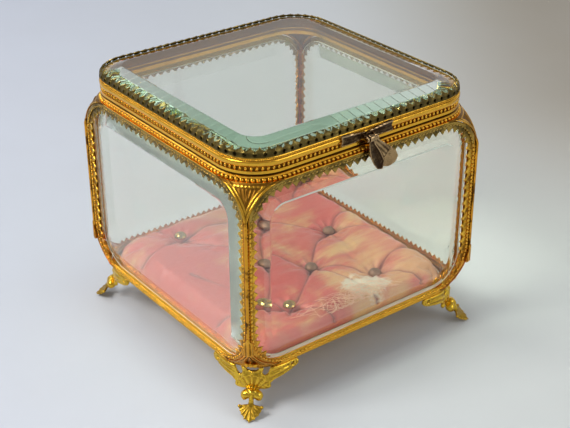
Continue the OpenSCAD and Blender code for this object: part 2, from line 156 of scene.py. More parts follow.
def pick(test, kind="verts"):
    """In edit mode, selects the vertices, edges or faces that pass a test."""
    kinds = ("verts", "edges", "faces")
    bpy.context.tool_settings.mesh_select_mode = tuple(kind == k for k in kinds)
    bpy.ops.mesh.select_all(action="DESELECT")
    mesh = bpy.context.edit_object.data
    bm = bmesh.from_edit_mesh(mesh)
    for item in getattr(bm, kind):
        if test(item):
            item.select_set(True)
    bm.select_flush_mode()
    bmesh.update_edit_mesh(mesh)


def pick_up_facing():
    pick(lambda f: f.normal.z > 0.9, "faces")


def start(name, kind, **how):
    """A primitive at its size and place, its place kept in its mesh."""
    rest()
    getattr(bpy.ops.mesh, f"primitive_{kind}_add")(**how)
    obj = bpy.context.object
    obj.name = name
    bpy.ops.object.transform_apply(location=True, rotation=True, scale=True)
    return obj


def block(name, size, at):
    return start(name, "cube", size=1, scale=size, location=at)


def move(value):
    bpy.ops.transform.translate(value=value)


def push(value):
    bpy.ops.mesh.extrude_region_move(TRANSFORM_OT_translate={"value": value})


def inset(width, lift=0.0):
    """In edit mode, insets the picked faces and lifts what is inside."""
    bpy.ops.mesh.inset(thickness=width, depth=0)
    if lift:
        move((0, 0, lift))


def remove(test):
    """In edit mode, deletes the faces that pass a test."""
    pick(test, "faces")
    bpy.ops.mesh.delete(type="FACE")


def draw(name, points):
    """A line through points, drawn by extruding one vertex."""
    obj = start(name, "plane", size=1)
    edit(obj)
    bpy.ops.mesh.merge(type="CENTER")
    move(points[0])
    for a, b in zip(points, points[1:]):
        bpy.ops.mesh.extrude_vertices_move(TRANSFORM_OT_translate={"value": Vector(b) - Vector(a)})
    return obj


def sheet(name, outline, thick, z=0.0):
    """A flat plate from an outline in the XY plane, its top thick above z."""
    obj = draw(name, [(x, y, z) for x, y in outline])
    pick_all()
    bpy.ops.mesh.edge_face_add()
    push((0, 0, thick))
    tidy()
    return obj


def tidy(gap=1e-4):
    """Merges doubles and turns every face outwards, in edit mode."""
    pick_all()
    bpy.ops.mesh.remove_doubles(threshold=gap)
    bpy.ops.mesh.normals_make_consistent(inside=False)


def change(obj, kind, **how):
    """Adds a modifier with these settings and applies it."""
    take(obj)
    mod = obj.modifiers.new(kind.lower(), kind)
    for key, value in how.items():
        setattr(mod, key, value)
    bpy.ops.object.modifier_apply(modifier=mod.name)
    return obj


def discard(obj):
    rest()
    bpy.data.objects.remove(obj)


def recast(obj, grain):
    """Gives a piece one even skin of small faces."""
    return change(obj, "REMESH", mode="VOXEL", voxel_size=grain)


def soften(obj, factor, times=1):
    return change(obj, "SMOOTH", factor=factor, iterations=times)


def carve(obj, cutter):
    change(obj, "BOOLEAN", operation="DIFFERENCE", object=cutter, solver="EXACT")
    discard(cutter)


def row(obj, count, step, merge=True):
    """Repeats a piece a step apart; merge joins the copies into one skin."""
    return change(obj, "ARRAY", count=count, use_relative_offset=False, use_constant_offset=True,
                  constant_offset_displace=step, use_merge_vertices=merge, merge_threshold=0.002)


def join(name, objs):
    take(objs[0], *objs[1:])
    if len(objs) > 1:
        bpy.ops.object.join()
    bpy.context.object.name = name
    return bpy.context.object


def copy_of(obj, name):
    take(obj)
    bpy.ops.object.duplicate()
    new = bpy.context.object
    new.name = name
    return new


def place(obj, matrix):
    """Moves the mesh itself; the object stays at the origin."""
    rest()
    obj.data.transform(matrix)
    if matrix.determinant() < 0:
        obj.data.flip_normals()
    return obj


def shift(x, y, z):
    return Matrix.Translation((x, y, z))


def with_swapped(name, obj):
    """A piece joined to its copy on the other side of the front left corner."""
    return join(name, [obj, place(copy_of(obj, name), SWAP)])


def all_round(name, obj):
    """A piece joined to its copies at the other three corners."""
    return join(name, [obj] + [turned(obj, quarter, name) for quarter in (1, 2, 3)])


def turned(obj, quarter, name):
    """A copy of a piece turned round the box by quarter turns."""
    return place(copy_of(obj, name), Matrix.Rotation(QUARTER * quarter, 4, "Z"))


def points_of(obj, what="co"):
    """A mesh's points as rows of X, Y and Z, or what else they carry, such as their normals."""
    rows = np.empty(len(obj.data.vertices) * 3)
    obj.data.vertices.foreach_get(what, rows)
    return rows.reshape(-1, 3)


def set_points(obj, co):
    obj.data.vertices.foreach_set("co", np.ascontiguousarray(co).ravel())
    obj.data.update()


def press(obj, height):
    """Raises each point along its normal by height(points, normals), as a die would."""
    rest()
    co, no = points_of(obj), points_of(obj, "normal")
    set_points(obj, co + no * np.asarray(height(co, no))[:, None])
    return obj


def close_line():
    """In edit mode, joins a drawn line's two ends."""
    pick(lambda v: len(v.link_edges) == 1)
    bpy.ops.mesh.edge_face_add()


def moulding(name, profile, half, radius, steps=10):
    """A profile of (offset out, z) run round a rounded square: drawn, extruded and spun."""
    run = half - radius
    obj = draw(name, [(-run, -(half + x), z) for x, z in profile])
    close_line()
    pick_all()
    for quarter in range(4):
        turn = Matrix.Rotation(QUARTER * quarter, 3, "Z")
        bpy.ops.mesh.extrude_edges_move(
            TRANSFORM_OT_translate={"value": turn @ Vector((2 * run, 0, 0))})
        bpy.ops.mesh.spin(steps=steps, angle=-QUARTER, center=turn @ Vector((run, -run, 0)),
                          axis=(0, 0, 1))
    tidy(1e-3)
    rest()
    return obj


def square_path(half, radius, z=0.0):
    """Points round a rounded square, counter-clockwise, a few millimetres apart."""
    run = half - radius
    points = []
    for quarter in range(4):
        turn = Matrix.Rotation(QUARTER * quarter, 3, "Z")
        for i in range(48):
            points.append(turn @ Vector((-run + 2 * run * i / 48, -half, z)))
        for i in range(24):
            a = -QUARTER + QUARTER * i / 24
            points.append(turn @ Vector((run + radius * math.cos(a),
                                         -run + radius * math.sin(a), z)))
    return points


def seam_path(inward):
    """The seam's path, so far inside it."""
    return square_path(SEAM_HALF - inward, SEAM_R - inward)


def along(cell, points, pitch, closed=True):
    """Repeats a cell along a path. The cell's X runs along it and its Y turns inward."""
    pairs = list(zip(points, points[1:] + points[:1] if closed else points[1:]))
    total = sum((b - a).length for a, b in pairs)
    count = max(2, round(total / pitch))
    step = total / count
    data = bpy.data.curves.new("path", "CURVE")
    data.dimensions = "3D"
    data.twist_mode = "Z_UP"
    line = data.splines.new("POLY")
    line.points.add(len(points) - 1)
    for spot, p in zip(line.points, points):
        spot.co = (*p, 1)
    line.use_cyclic_u = closed
    path = bpy.data.objects.new("path", data)
    bpy.context.scene.collection.objects.link(path)
    place(cell, Matrix.Diagonal((step / pitch, 1, 1, 1)))
    row(cell, count, (step, 0, 0))
    change(cell, "CURVE", object=path, deform_axis="POS_X")
    discard(path)
    return cell


def wear_and_shade_map(obj, dull=None):
    """Stores how proud (1) or sunken (0) each point is, for the gilding's wear and tarnish, and
    for the satin's painted shade and painted highlight.

    dull, if given, says how much darker than that each point is; most pieces paint shade with it,
    and the clasp paints lighter parts and shaded knurls.
    """
    mesh = obj.data
    co, no = points_of(obj), points_of(obj, "normal")
    ends = np.empty(len(mesh.edges) * 2, int)
    mesh.edges.foreach_get("vertices", ends)
    a, b = ends.reshape(-1, 2).T
    step = co[b] - co[a]
    long = np.maximum(np.linalg.norm(step, axis=1), 1e-6)[:, None]
    lean_a = (no[a] * step / long).sum(1)
    lean_b = -(no[b] * step / long).sum(1)
    count = np.bincount(a, minlength=len(co)) + np.bincount(b, minlength=len(co))
    count = np.maximum(count, 1)

    def gather(at_a, at_b):
        return (np.bincount(a, at_a, len(co)) + np.bincount(b, at_b, len(co))) / count

    bend = gather(lean_a, lean_b)
    for _ in range(2):
        bend = 0.5 * bend + 0.5 * gather(bend[b], bend[a])
    values = 0.5 - 1.6 * bend
    if dull:
        values -= dull(co)
    values = np.clip(values, 0, 1)
    layer = mesh.attributes.new("wear", "FLOAT", "POINT")
    layer.data.foreach_set("value", values.astype(np.float32))


def finish(obj, material, body, *nodes, slot=None, smooth=None, worn=True, dull=None):
    """Brings a piece to metres, gives it its finish, hangs it on what it rides on and hides the
    parts it stands for.
    """
    take(obj)
    if smooth is not None:
        bpy.ops.object.shade_smooth_by_angle(angle=math.radians(smooth))
    if worn:
        wear_and_shade_map(obj, dull)
    place(obj, Matrix.Scale(MM, 4))
    obj.data.materials.clear()
    obj.data.materials.append(material)
    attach(obj, body)
    if nodes:
        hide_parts(*nodes)
    return obj


def refinish(node, material):
    """Gives a carried-over piece its finish; its mesh is left alone."""
    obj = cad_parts[node]
    obj.data.materials.clear()
    obj.data.materials.append(material)


# ---- Finishes ----

class Wire:
    """One socket of a material's nodes. Sums on it add Math nodes."""

    def __init__(self, socket):
        self.socket = socket

    def math(self, how, *others):
        return node(self.socket.id_data, "ShaderNodeMath", {"operation": how},
                    dict(enumerate((self, *others))))

    def __add__(self, other):
        return self.math("ADD", other)

    def __sub__(self, other):
        return self.math("SUBTRACT", other)

    def __mul__(self, other):
        return self.math("MULTIPLY", other)

    def __rsub__(self, other):
        return node(self.socket.id_data, "ShaderNodeMath", {"operation": "SUBTRACT"},
                    {0: other, 1: self})

    __radd__ = __add__
    __rmul__ = __mul__


def node(tree, kind, settings=None, inputs=None, out=0):
    """Adds a node: its settings first, then its sockets' values or links. Returns one output."""
    new = tree.nodes.new(kind)
    for key, value in (settings or {}).items():
        if key == "stops":
            stops = new.color_ramp.elements
            while len(stops) < len(value):
                stops.new(0.5)
            for stop, (at, shade) in zip(stops, value):
                stop.position = at
                stop.color = (*shade, 1) if isinstance(shade, tuple) else (shade,) * 3 + (1,)
        else:
            setattr(new, key, value)
    for key, value in (inputs or {}).items():
        socket = new.inputs[key]
        if isinstance(value, Wire):
            tree.links.new(value.socket, socket)
        elif socket.type == "RGBA" and len(value) == 3:
            socket.default_value = (*value, 1)
        else:
            socket.default_value = value
    return Wire(new.outputs[out])


class Finish:
    """A new material with one main shader, and short ways to the nodes it needs."""

    def __init__(self, name):
        self.material = bpy.data.materials.new(name)
        self.material.use_nodes = True
        self.tree = self.material.node_tree
        self.tree.nodes.clear()
        self.place = self.add("ShaderNodeTexCoord", out=3)

    def add(self, kind, settings=None, inputs=None, out=0):
        return node(self.tree, kind, settings, inputs, out)

    def attribute(self, name):
        return self.add("ShaderNodeAttribute", {"attribute_name": name}, out=2)

    def axis(self, k):
        """The place along X, Y or Z (0, 1, 2), in metres."""
        return self.add("ShaderNodeSeparateXYZ", None, {"Vector": self.place}, out=k)

    def stretched(self, scale, turn=0.0):
        return self.add("ShaderNodeMapping", None,
                        {"Vector": self.place, "Scale": scale, "Rotation": (0, 0, turn)})

    def noise(self, scale, detail=3.0, rough=0.55, at=None, distort=0.0):
        return self.add("ShaderNodeTexNoise", None,
                        {"Vector": at or self.place, "Scale": scale, "Detail": detail,
                         "Roughness": rough, "Distortion": distort})

    def band(self, value, low, high):
        """0 below low, 1 above high and smooth between."""
        return self.add("ShaderNodeMapRange", {"interpolation_type": "SMOOTHSTEP"},
                        {"Value": value, "From Min": low, "From Max": high})

    def span(self, value, low, high):
        """From low where the value is 0 to high where it is 1."""
        return self.add("ShaderNodeMapRange", None,
                        {"Value": value, "To Min": low, "To Max": high})

    def mix(self, factor, a, b):
        return self.add("ShaderNodeMix", {"data_type": "RGBA"}, {0: factor, 6: a, 7: b}, out=2)

    def bump(self, height, strength, distance, under=None):
        inputs = {"Height": height, "Strength": strength, "Distance": distance}
        if under:
            inputs["Normal"] = under
        return self.add("ShaderNodeBump", None, inputs)

    def shader(self, **inputs):
        return self.add("ShaderNodeBsdfPrincipled", None,
                        {k.replace("_", " "): v for k, v in inputs.items()})

    def done(self, surface, volume=None):
        out = self.tree.nodes.new("ShaderNodeOutputMaterial")
        self.tree.links.new(surface.socket, out.inputs["Surface"])
        if volume:
            self.tree.links.new(volume.socket, out.inputs["Volume"])
        return self.material


def brass(name, bright, hollow, worn=True, rough=(0.2, 0.42), grime=0.5, level=(0.34, 0.62),
          low=None, coppery=True, patchy=0.5, beaten=0.35):
    """Gilt or aged brass: bright on what stands proud, tarnished in the hollows, and dark too
    where a piece's map holds painted shade.

    low is the pair of colours that both turn to below the frames' heads; coppery lets the
    lower corners turn to copper, where the gilding has gone; patchy says how unevenly it has
    worn, and beaten how dented it is.
    """
    f = Finish(name)
    cloud = f.noise(140.0, 4.0, 0.6)
    grain = f.noise(1400.0, 3.0, 0.6)
    if worn:
        proud = f.band(f.attribute("wear") + (cloud - 0.5) * patchy + (grain - 0.5) * 0.3, *level)
    else:
        proud = f.band(cloud + (grain - 0.5) * 0.3, 0.3, 0.52)
    warm = f.mix(cloud, tuple(c * k for c, k in zip(bright, (0.8, 0.66, 0.5))), bright)
    x, y, height = (f.axis(k) for k in range(3))
    if low:
        lower = f.band(height + (cloud - 0.5) * 0.03, 0.112, 0.096)
        warm = f.mix(lower, warm, low[0])
        hollow = f.mix(lower, hollow, low[1])
    if coppery:
        corner = f.band(x.math("ABSOLUTE") + y.math("ABSOLUTE"), 0.117, 0.126)
        corner = corner * f.band(height + (cloud - 0.5) * 0.02, 0.050, 0.038)
        if worn:
            corner = corner * f.band(f.attribute("wear"), 0.98, 0.9)
        warm = f.mix(corner, warm, (0.74, 0.34, 0.04))
    base = f.mix(proud, hollow, warm)
    specks = f.band(f.noise(520.0, 5.0, 0.7), 0.58, 0.74)
    base = f.mix(specks * grime, base, (0.06, 0.03, 0.008))
    gloss = f.span(1 - proud, *rough) + (grain - 0.5) * 0.12
    dent = f.bump(f.noise(260.0, 2.0, 0.5), beaten, 0.0006)
    fine = f.bump(grain, 0.4, 0.00016, under=dent)
    return f.done(f.shader(Base_Color=base, Metallic=1.0, Roughness=gloss, Normal=fine))


def clear_glass(name, tint, density):
    """Plate glass: clear, faintly green through its depth, its ground edges pale, and painted
    white where a pane carries a painted glint or painted reflection.

    It lets light by to the cushion.
    """
    f = Finish(name)
    ripple = f.bump(f.noise(12.0, 1.0, 0.4), 0.04, 0.0004)
    glass = f.shader(Base_Color=(0.965, 0.97, 0.93), Roughness=0.0, IOR=1.52,
                     Transmission_Weight=1.0, Normal=ripple)
    # The frost whitens the ground edges, and also paints the glint and the white reflection on the
    # front pane
    white_frost_and_glint = f.add("ShaderNodeMixShader", None, {
        0: 0.5,
        1: f.add("ShaderNodeBsdfDiffuse", None, {"Color": (0.88, 0.94, 0.87)}),
        2: f.add("ShaderNodeBsdfTranslucent", None, {"Color": (0.88, 0.94, 0.87)})})
    glass = f.add("ShaderNodeMixShader", None, {0: f.attribute("ground"), 1: glass, 2: white_frost_and_glint})
    open_air = f.add("ShaderNodeBsdfTransparent", None, {"Color": (0.94, 0.955, 0.93)})
    shadow = f.add("ShaderNodeLightPath", out=1)
    both = f.add("ShaderNodeMixShader", None, {0: shadow, 1: glass, 2: open_air})
    depth = f.add("ShaderNodeVolumeAbsorption", None, {"Color": tint, "Density": density})
    return f.done(both, depth)


LOOKS = {}


def look(name):
    """Each finish is made once, when it is first asked for."""
    if name not in LOOKS:
        c = colours()
        gilt, tarnish_and_shade, patina_and_shade = tuple(c.gilt), tuple(c.tarnish_and_shade), tuple(c.patina_and_shade)
        makers = {
            "gilt": lambda: brass("gilt_brass", gilt, tarnish_and_shade),
            "gilt_plain": lambda: brass("gilt_brass_plain", gilt, tarnish_and_shade, worn=False),
            "post": lambda: brass("post_brass", (0.80, 0.40, 0.035), (0.10, 0.038, 0.006),
                                  grime=0.9, level=(0.42, 0.70), patchy=1.9, beaten=1.0),
            "frames": lambda: brass("frame_brass", (0.42, 0.29, 0.07), patina_and_shade, rough=(0.2, 0.5),
                                    level=(0.46, 0.82), grime=0.7, patchy=1.0, beaten=0.7,
                                    low=((0.84, 0.47, 0.05), (0.22, 0.10, 0.012))),
            "gallery": lambda: brass("aged_brass", (0.26, 0.195, 0.055), patina_and_shade,
                                     rough=(0.26, 0.5), level=(0.56, 0.95), grime=0.8,
                                     coppery=False, patchy=1.0, beaten=0.8),
            "foot": lambda: brass("foot_brass", (0.86, 0.58, 0.06), (0.34, 0.20, 0.02),
                                  rough=(0.2, 0.42), level=(0.26, 0.56), coppery=False,
                                  beaten=0.9),
            "copper": lambda: brass("dark_copper", tuple(c.copper), (0.035, 0.018, 0.009),
                                    rough=(0.07, 0.28), level=(0.45, 0.85), coppery=False),
            "copper_plain": lambda: brass("dark_copper_plain", (0.12, 0.06, 0.026),
                                          (0.03, 0.018, 0.009), worn=False, coppery=False),
            "steel": lambda: brass("spring_steel", (0.42, 0.40, 0.37), (0.16, 0.13, 0.11),
                                   worn=False, coppery=False),
            "button": lambda: brass("button_brass", (0.60, 0.44, 0.17), (0.30, 0.17, 0.11),
                                    rough=(0.1, 0.5), coppery=False),
            "side_glass": lambda: clear_glass("side_glass", tuple(c.glass), 6.5),
            "lid_glass": lambda: clear_glass("lid_glass", tuple(c.glass), 5.0),
        }
        LOOKS[name] = makers[name]()
    return LOOKS[name]


# ---- The pieces ----

def bead(name, rx, ry, rz, around=8, rings=6):
    """A small bead with few faces."""
    obj = start(name, "uv_sphere", segments=around, ring_count=rings, radius=1)
    edit(obj)
    bpy.ops.transform.resize(value=(rx, ry, rz))
    rest()
    return obj


def beads_along(name, size, path, pitch, z, around=8, rings=6, lean=0.0, closed=True):
    """A string of beads along a path, at height z; each leans by so many degrees along it."""
    obj = bead(name, *size, around, rings)
    if lean:
        edit(obj)
        bpy.ops.transform.rotate(value=math.radians(lean), orient_axis="Y",
                                 center_override=(0, 0, 0))
    return place(along(obj, path, pitch, closed), shift(0, 0, z))


# How white a ground edge looks where little light catches it; 1 is full white
FAINT = 0.06


def pane(name, half_x, half_y, radius, thick, edge, bevel, arris, bottom=0.0, top=0.0):
    """A bevelled pane lying flat, its back at z 0: a slab, its corners rounded, its top inset.

    Its edge and the arris beside it are ground; bottom says how white the arris is painted along
    the low side, as a painted reflection, and top how white the bevel's inner line is painted
    along the high side, as a painted glint.
    """
    obj = block(name, (2 * half_x, 2 * half_y, edge), (0, 0, edge / 2))
    edit(obj)
    pick(lambda e: abs(e.verts[0].co.z - e.verts[1].co.z) > edge / 2, "edges")
    bpy.ops.mesh.bevel(offset=radius, segments=14, profile=0.5)
    pick_up_facing()
    inset(arris)
    pick(lambda f: f.normal.z > 0.9 and f.calc_area() > half_x * half_y, "faces")
    inset(bevel - arris, thick - edge)
    pick(lambda e: len(e.link_faces) == 2 and e.calc_face_angle(0) > 0.12 and
         all(v.co.z > thick - 0.01 for v in e.verts), "edges")
    bpy.ops.mesh.bevel(offset=0.42, segments=2)
    rest()
    layer = obj.data.attributes.new("ground", "FLOAT", "FACE")
    for face, share in zip(obj.data.polygons, layer.data):
        mid = face.center
        if abs(face.normal.z) < 0.3:
            share.value = 1.0
        # The arris ring: painted white along the low side as a painted reflection, faint elsewhere
        elif mid.z < edge + 0.01 and face.normal.z > 0:
            share.value = bottom if mid.y < 3 - half_y else FAINT
        # The narrow facets of the top bevel's inner line: a painted glint
        elif face.area < half_x and mid.z > thick - 0.15 and mid.y > half_y - bevel - 2:
            share.value = top
    return obj


class CASKET_OT_panes(bpy.types.Operator):
    """Makes the four bevelled side panes and the lid's thicker pane"""
    bl_idname = "casket.panes"
    bl_label = "Glass panes"

    def execute(self, context):
        low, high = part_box("front_glass")
        half_x = high[0] / MM
        z0, z1 = low[2] / MM, high[2] / MM
        thick = (high[1] - low[1]) / MM
        # The front pane gets a painted white reflection along its low arris and a painted glint
        # along its top bevel's inner line
        model = pane("side_pane", half_x, (z1 - z0) / 2, SIDE_R - 4, thick, 1.2, 9.5, 2.0,
                     bottom=0.75, top=0.9)
        place(model, shift(0, high[1] / MM, (z0 + z1) / 2) @ STAND)
        for quarter, side in enumerate(SIDES):
            obj = turned(model, quarter, f"{side}_pane")
            # The other panes lose these painted white lines: every face but their edges gets the
            # faint white
            if side != "front":
                for share in obj.data.attributes["ground"].data:
                    share.value = FAINT if share.value < 0.95 else 1
            finish(obj, look("side_glass"), "casket", f"{side}_glass", slot="side_glass",
                   smooth=4, worn=False)
        discard(model)
        low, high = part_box("lid_glass")
        half = high[0] / MM
        lid = pane("lid_pane", half, half, SEAM_R - 1.6, (high[2] - low[2]) / MM, 2.2, 10.0, 0.25)
        place(lid, shift(0, 0, low[2] / MM))
        finish(lid, look("lid_glass"), "lid", "lid_glass", slot="lid_glass", smooth=4, worn=False)
        return {"FINISHED"}


def frame_loop(side, top, low, clip=None):
    """A side frame's outline, flat, at these insets; counter-clockwise from the right side."""
    r = SIDE_R - side
    half_h = (SIDE_Z1 - SIDE_Z0) / 2
    hx = HALF - side - r
    rise = half_h - SIDE_R
    loop = []
    for k, (sx, cy, ry) in enumerate(((1, rise, SIDE_R - top), (-1, rise, SIDE_R - top),
                                      (-1, -rise, SIDE_R - low), (1, -rise, SIDE_R - low))):
        for i in range(17):
            a = QUARTER * (k + i / 16)
            loop.append(Vector((sx * hx + r * math.cos(a), cy + ry * math.sin(a), 0)))
    if clip:
        for p in loop:
            p.x = max(-clip, min(clip, p.x))
    return loop


def evenly(points, step=1.5):
    """The same path with a point every step or so."""
    path = []
    for a, b in zip(points, points[1:]):
        n = max(1, round((b - a).length / step))
        path += [a.lerp(b, i / n) for i in range(n)]
    return path + [points[-1]]


def arch_path(side, top, low):
    """The part of a side frame's loop that carries teeth: from low on the right, over the top."""
    loop = frame_loop(side, top, low)
    # Half of the loop is its head; the teeth run on round this many points of each lower corner
    half, drop = len(loop) // 2, 9
    return evenly(loop[-1 - drop:] + loop[:half + 1 + drop])


def both_sides(half, width, first):
    """A cell's outline from its first point and its right half."""
    return [first] + half + [(width - x, y) for x, y in half[-2:0:-1]]


def tooth_cell(pitch, reach, foot, thick):
    """One tooth of a pierced strip: half an eye at each end, broad shoulders and a narrow tip."""
    right = [(1, -foot), (1, -0.75 * foot), (0.87, -0.62 * foot), (0.83, -0.4 * foot),
             (0.88, -0.2 * foot), (1, -0.1 * foot), (1, 0.06 * reach), (0.92, 0.14 * reach),
             (0.88, 0.34 * reach), (0.76, 0.40 * reach), (0.72, 0.58 * reach),
             (0.61, 0.80 * reach), (0.5, 1.0 * reach)]
    shape = both_sides(right, 1, (0, -foot))
    obj = sheet("tooth", [(x * pitch, y) for x, y in shape], thick)
    pick_up_facing()
    inset(0.2, 0.26)
    cut_ends(pitch)
    return obj


def cut_ends(pitch):
    """Opens a cell's two ends, so that its copies join into one skin."""
    remove(lambda f: abs(f.normal.x) > 0.9 and (min(v.co.x for v in f.verts) > pitch - 1e-3 or
                                                max(v.co.x for v in f.verts) < 1e-3))
    rest()


def rod(name, radius, size):
    """A short open length of round wire along X, to be repeated end to end."""
    obj = start(name, "cylinder", vertices=8, radius=radius, depth=size, rotation=(0, QUARTER, 0),
                location=(size / 2, 0, 0))
    edit(obj)
    remove(lambda f: abs(f.normal.x) > 0.9)
    rest()
    return obj


def flat_ring(name, outer, inner, thick, z):
    """A flat band between two loops of as many points, thick above z, with softened edges."""
    rings = []
    for loop in (outer, inner):
        rings.append(draw(name, [(p.x, p.y, z) for p in loop]))
        close_line()
    obj = join(name, rings)
    edit(obj)
    bpy.ops.mesh.bridge_edge_loops()
    pick_all()
    push((0, 0, thick))
    tidy()
    pick(lambda e: all(v.co.z > z + thick - 1e-4 for v in e.verts) and
         any(abs(f.normal.z) < 0.5 for f in e.link_faces), "edges")
    bpy.ops.mesh.bevel(offset=min(0.35, thick / 2), segments=2)
    rest()
    return obj


class CASKET_OT_bezels(bpy.types.Operator):
    """Makes the four side frames: a flat band with beads, and the pierced toothed strip"""
    bl_idname = "casket.bezels"
    bl_label = "Side frames"

    def execute(self, context):
        pitch = sizes().tooth_pitch / MM
        outer = frame_loop(0.1, 0.1, 0.1, HALF - 2.3)
        inner = frame_loop(2.5, 1.5, 0.8)
        band = flat_ring("band", outer, inner, 1.3, -1.45)
        back = flat_ring("backing", inner, frame_loop(4.6, 3.4, 1.15), 0.15, -1.35)
        strip = along(tooth_cell(pitch, 2.6, 1.9, 0.4), arch_path(4.2, 3.0, 1.0), pitch, False)
        place(strip, shift(0, 0, -1.2))
        small = beads_along("small", (0.95, 0.6, 0.6), evenly(frame_loop(2.6, 1.5, 0.6)),
                            pitch / 2, -0.35)
        lip = along(rod("lip", 0.3, pitch / 2), evenly(frame_loop(3.5, 2.35, 1.05)), pitch / 2)
        place(lip, shift(0, 0, -0.85))
        whole = join("side_frame", [band, back, strip, small, lip])
        place(whole, shift(0, -HALF, SIDE_ZC) @ STAND)
        for quarter, side in enumerate(SIDES):
            obj = turned(whole, quarter, f"{side}_frame")
            finish(obj, look("frames"), "casket", f"{side}_bezel", slot="aged_brass", smooth=40)
        discard(whole)
        return {"FINISHED"}


class CASKET_OT_posts(bpy.types.Operator):
    """Makes the four corner posts: a half-round ridge between two dotted channels"""
    bl_idname = "casket.posts"
    bl_label = "Corner posts"

    def execute(self, context):
        z0, z1 = POST_Z0, POST_Z1
        ridge = [(0.3 + 0.78 * math.cos(a), 0.3 + 0.78 * math.sin(a))
                 for a in (math.radians(d) for d in range(330, 119, -15))]
        side = [(5.5, 1.7), (2.3, 1.7), (2.3, 0.3), (2.15, 0.05), (1.95, 0.05), (1.8, 0.3),
                (1.72, 0.8), (1.05, 0.8)]
        section = side + ridge + [(y, x) for x, y in reversed(side)]
        post = sheet("post", section, z1 - z0, z0)
        for height in (0.8, 2.2, 4.5):
            for at, way in ((z0 + height, 1), (z1 - height, -1)):
                pick_all()
                bpy.ops.mesh.bisect(plane_co=(0, 0, at), plane_no=(0, 0, way))
        for at in (z0, z1):
            for height, size in ((0.0, 0.25), (0.8, 0.6), (2.2, 0.85)):
                pick(lambda v: abs(abs(v.co.z - at) - height) < 1e-3 and v.co.x < 2.3 and
                     v.co.y < 2.3)
                bpy.ops.transform.resize(value=(size, size, 1), center_override=(2.6, 2.6, at))
        dot = place(bead("dot", 0.42, 0.45, 0.62), shift(1.4, 0.6, z0 + 4.5))
        dots = row(with_swapped("dots", dot), int((z1 - z0 - 9) / 1.65) + 1, (0, 0, 1.65),
                   merge=False)
        post = place(join("post", [post, dots]), shift(-HALF, -HALF, 0))
        for quarter, corner in enumerate(CORNERS):
            finish(turned(post, quarter, f"{corner}_pillar"), look("post"), "casket",
                   f"{corner}_post", slot="gilt_brass", smooth=40)
        discard(post)
        return {"FINISHED"}


def wrap_corner(plate, half, radius, lift=0.0):
    """Bends a flat plate round the box's corner; its X 0 goes to the diagonal, its Y goes up."""
    rest()
    co = points_of(plate)
    run = half - radius
    u, z, out = co[:, 0], co[:, 1], co[:, 2] + lift
    quarter = radius * QUARTER / 2
    held = np.clip(u, -quarter, quarter)
    turn = math.radians(225) + held / radius
    nx, ny = np.cos(turn), np.sin(turn)
    x = -run + nx * (radius + out) - ny * (u - held)
    y = -run + ny * (radius + out) + nx * (u - held)
    set_points(plate, np.stack([x, y, z], 1))
    return plate


def ridge_at(distance, middle, width, height):
    return height * np.exp(-((distance - middle) / width) ** 2)


def out_to(p):
    """How far out to a corner each point is: its X and Y together."""
    return np.abs(p[:, 0]) + np.abs(p[:, 1])


# Where the drops under the lower corners hang: out along the diagonal, and up
DROPS_OUT = 92.1
DROPS_Z = SIDE_Z0 + 1.2
# What lies further out to a corner than this, at the drops' height, is a drop
DROPS_FROM = 129.2


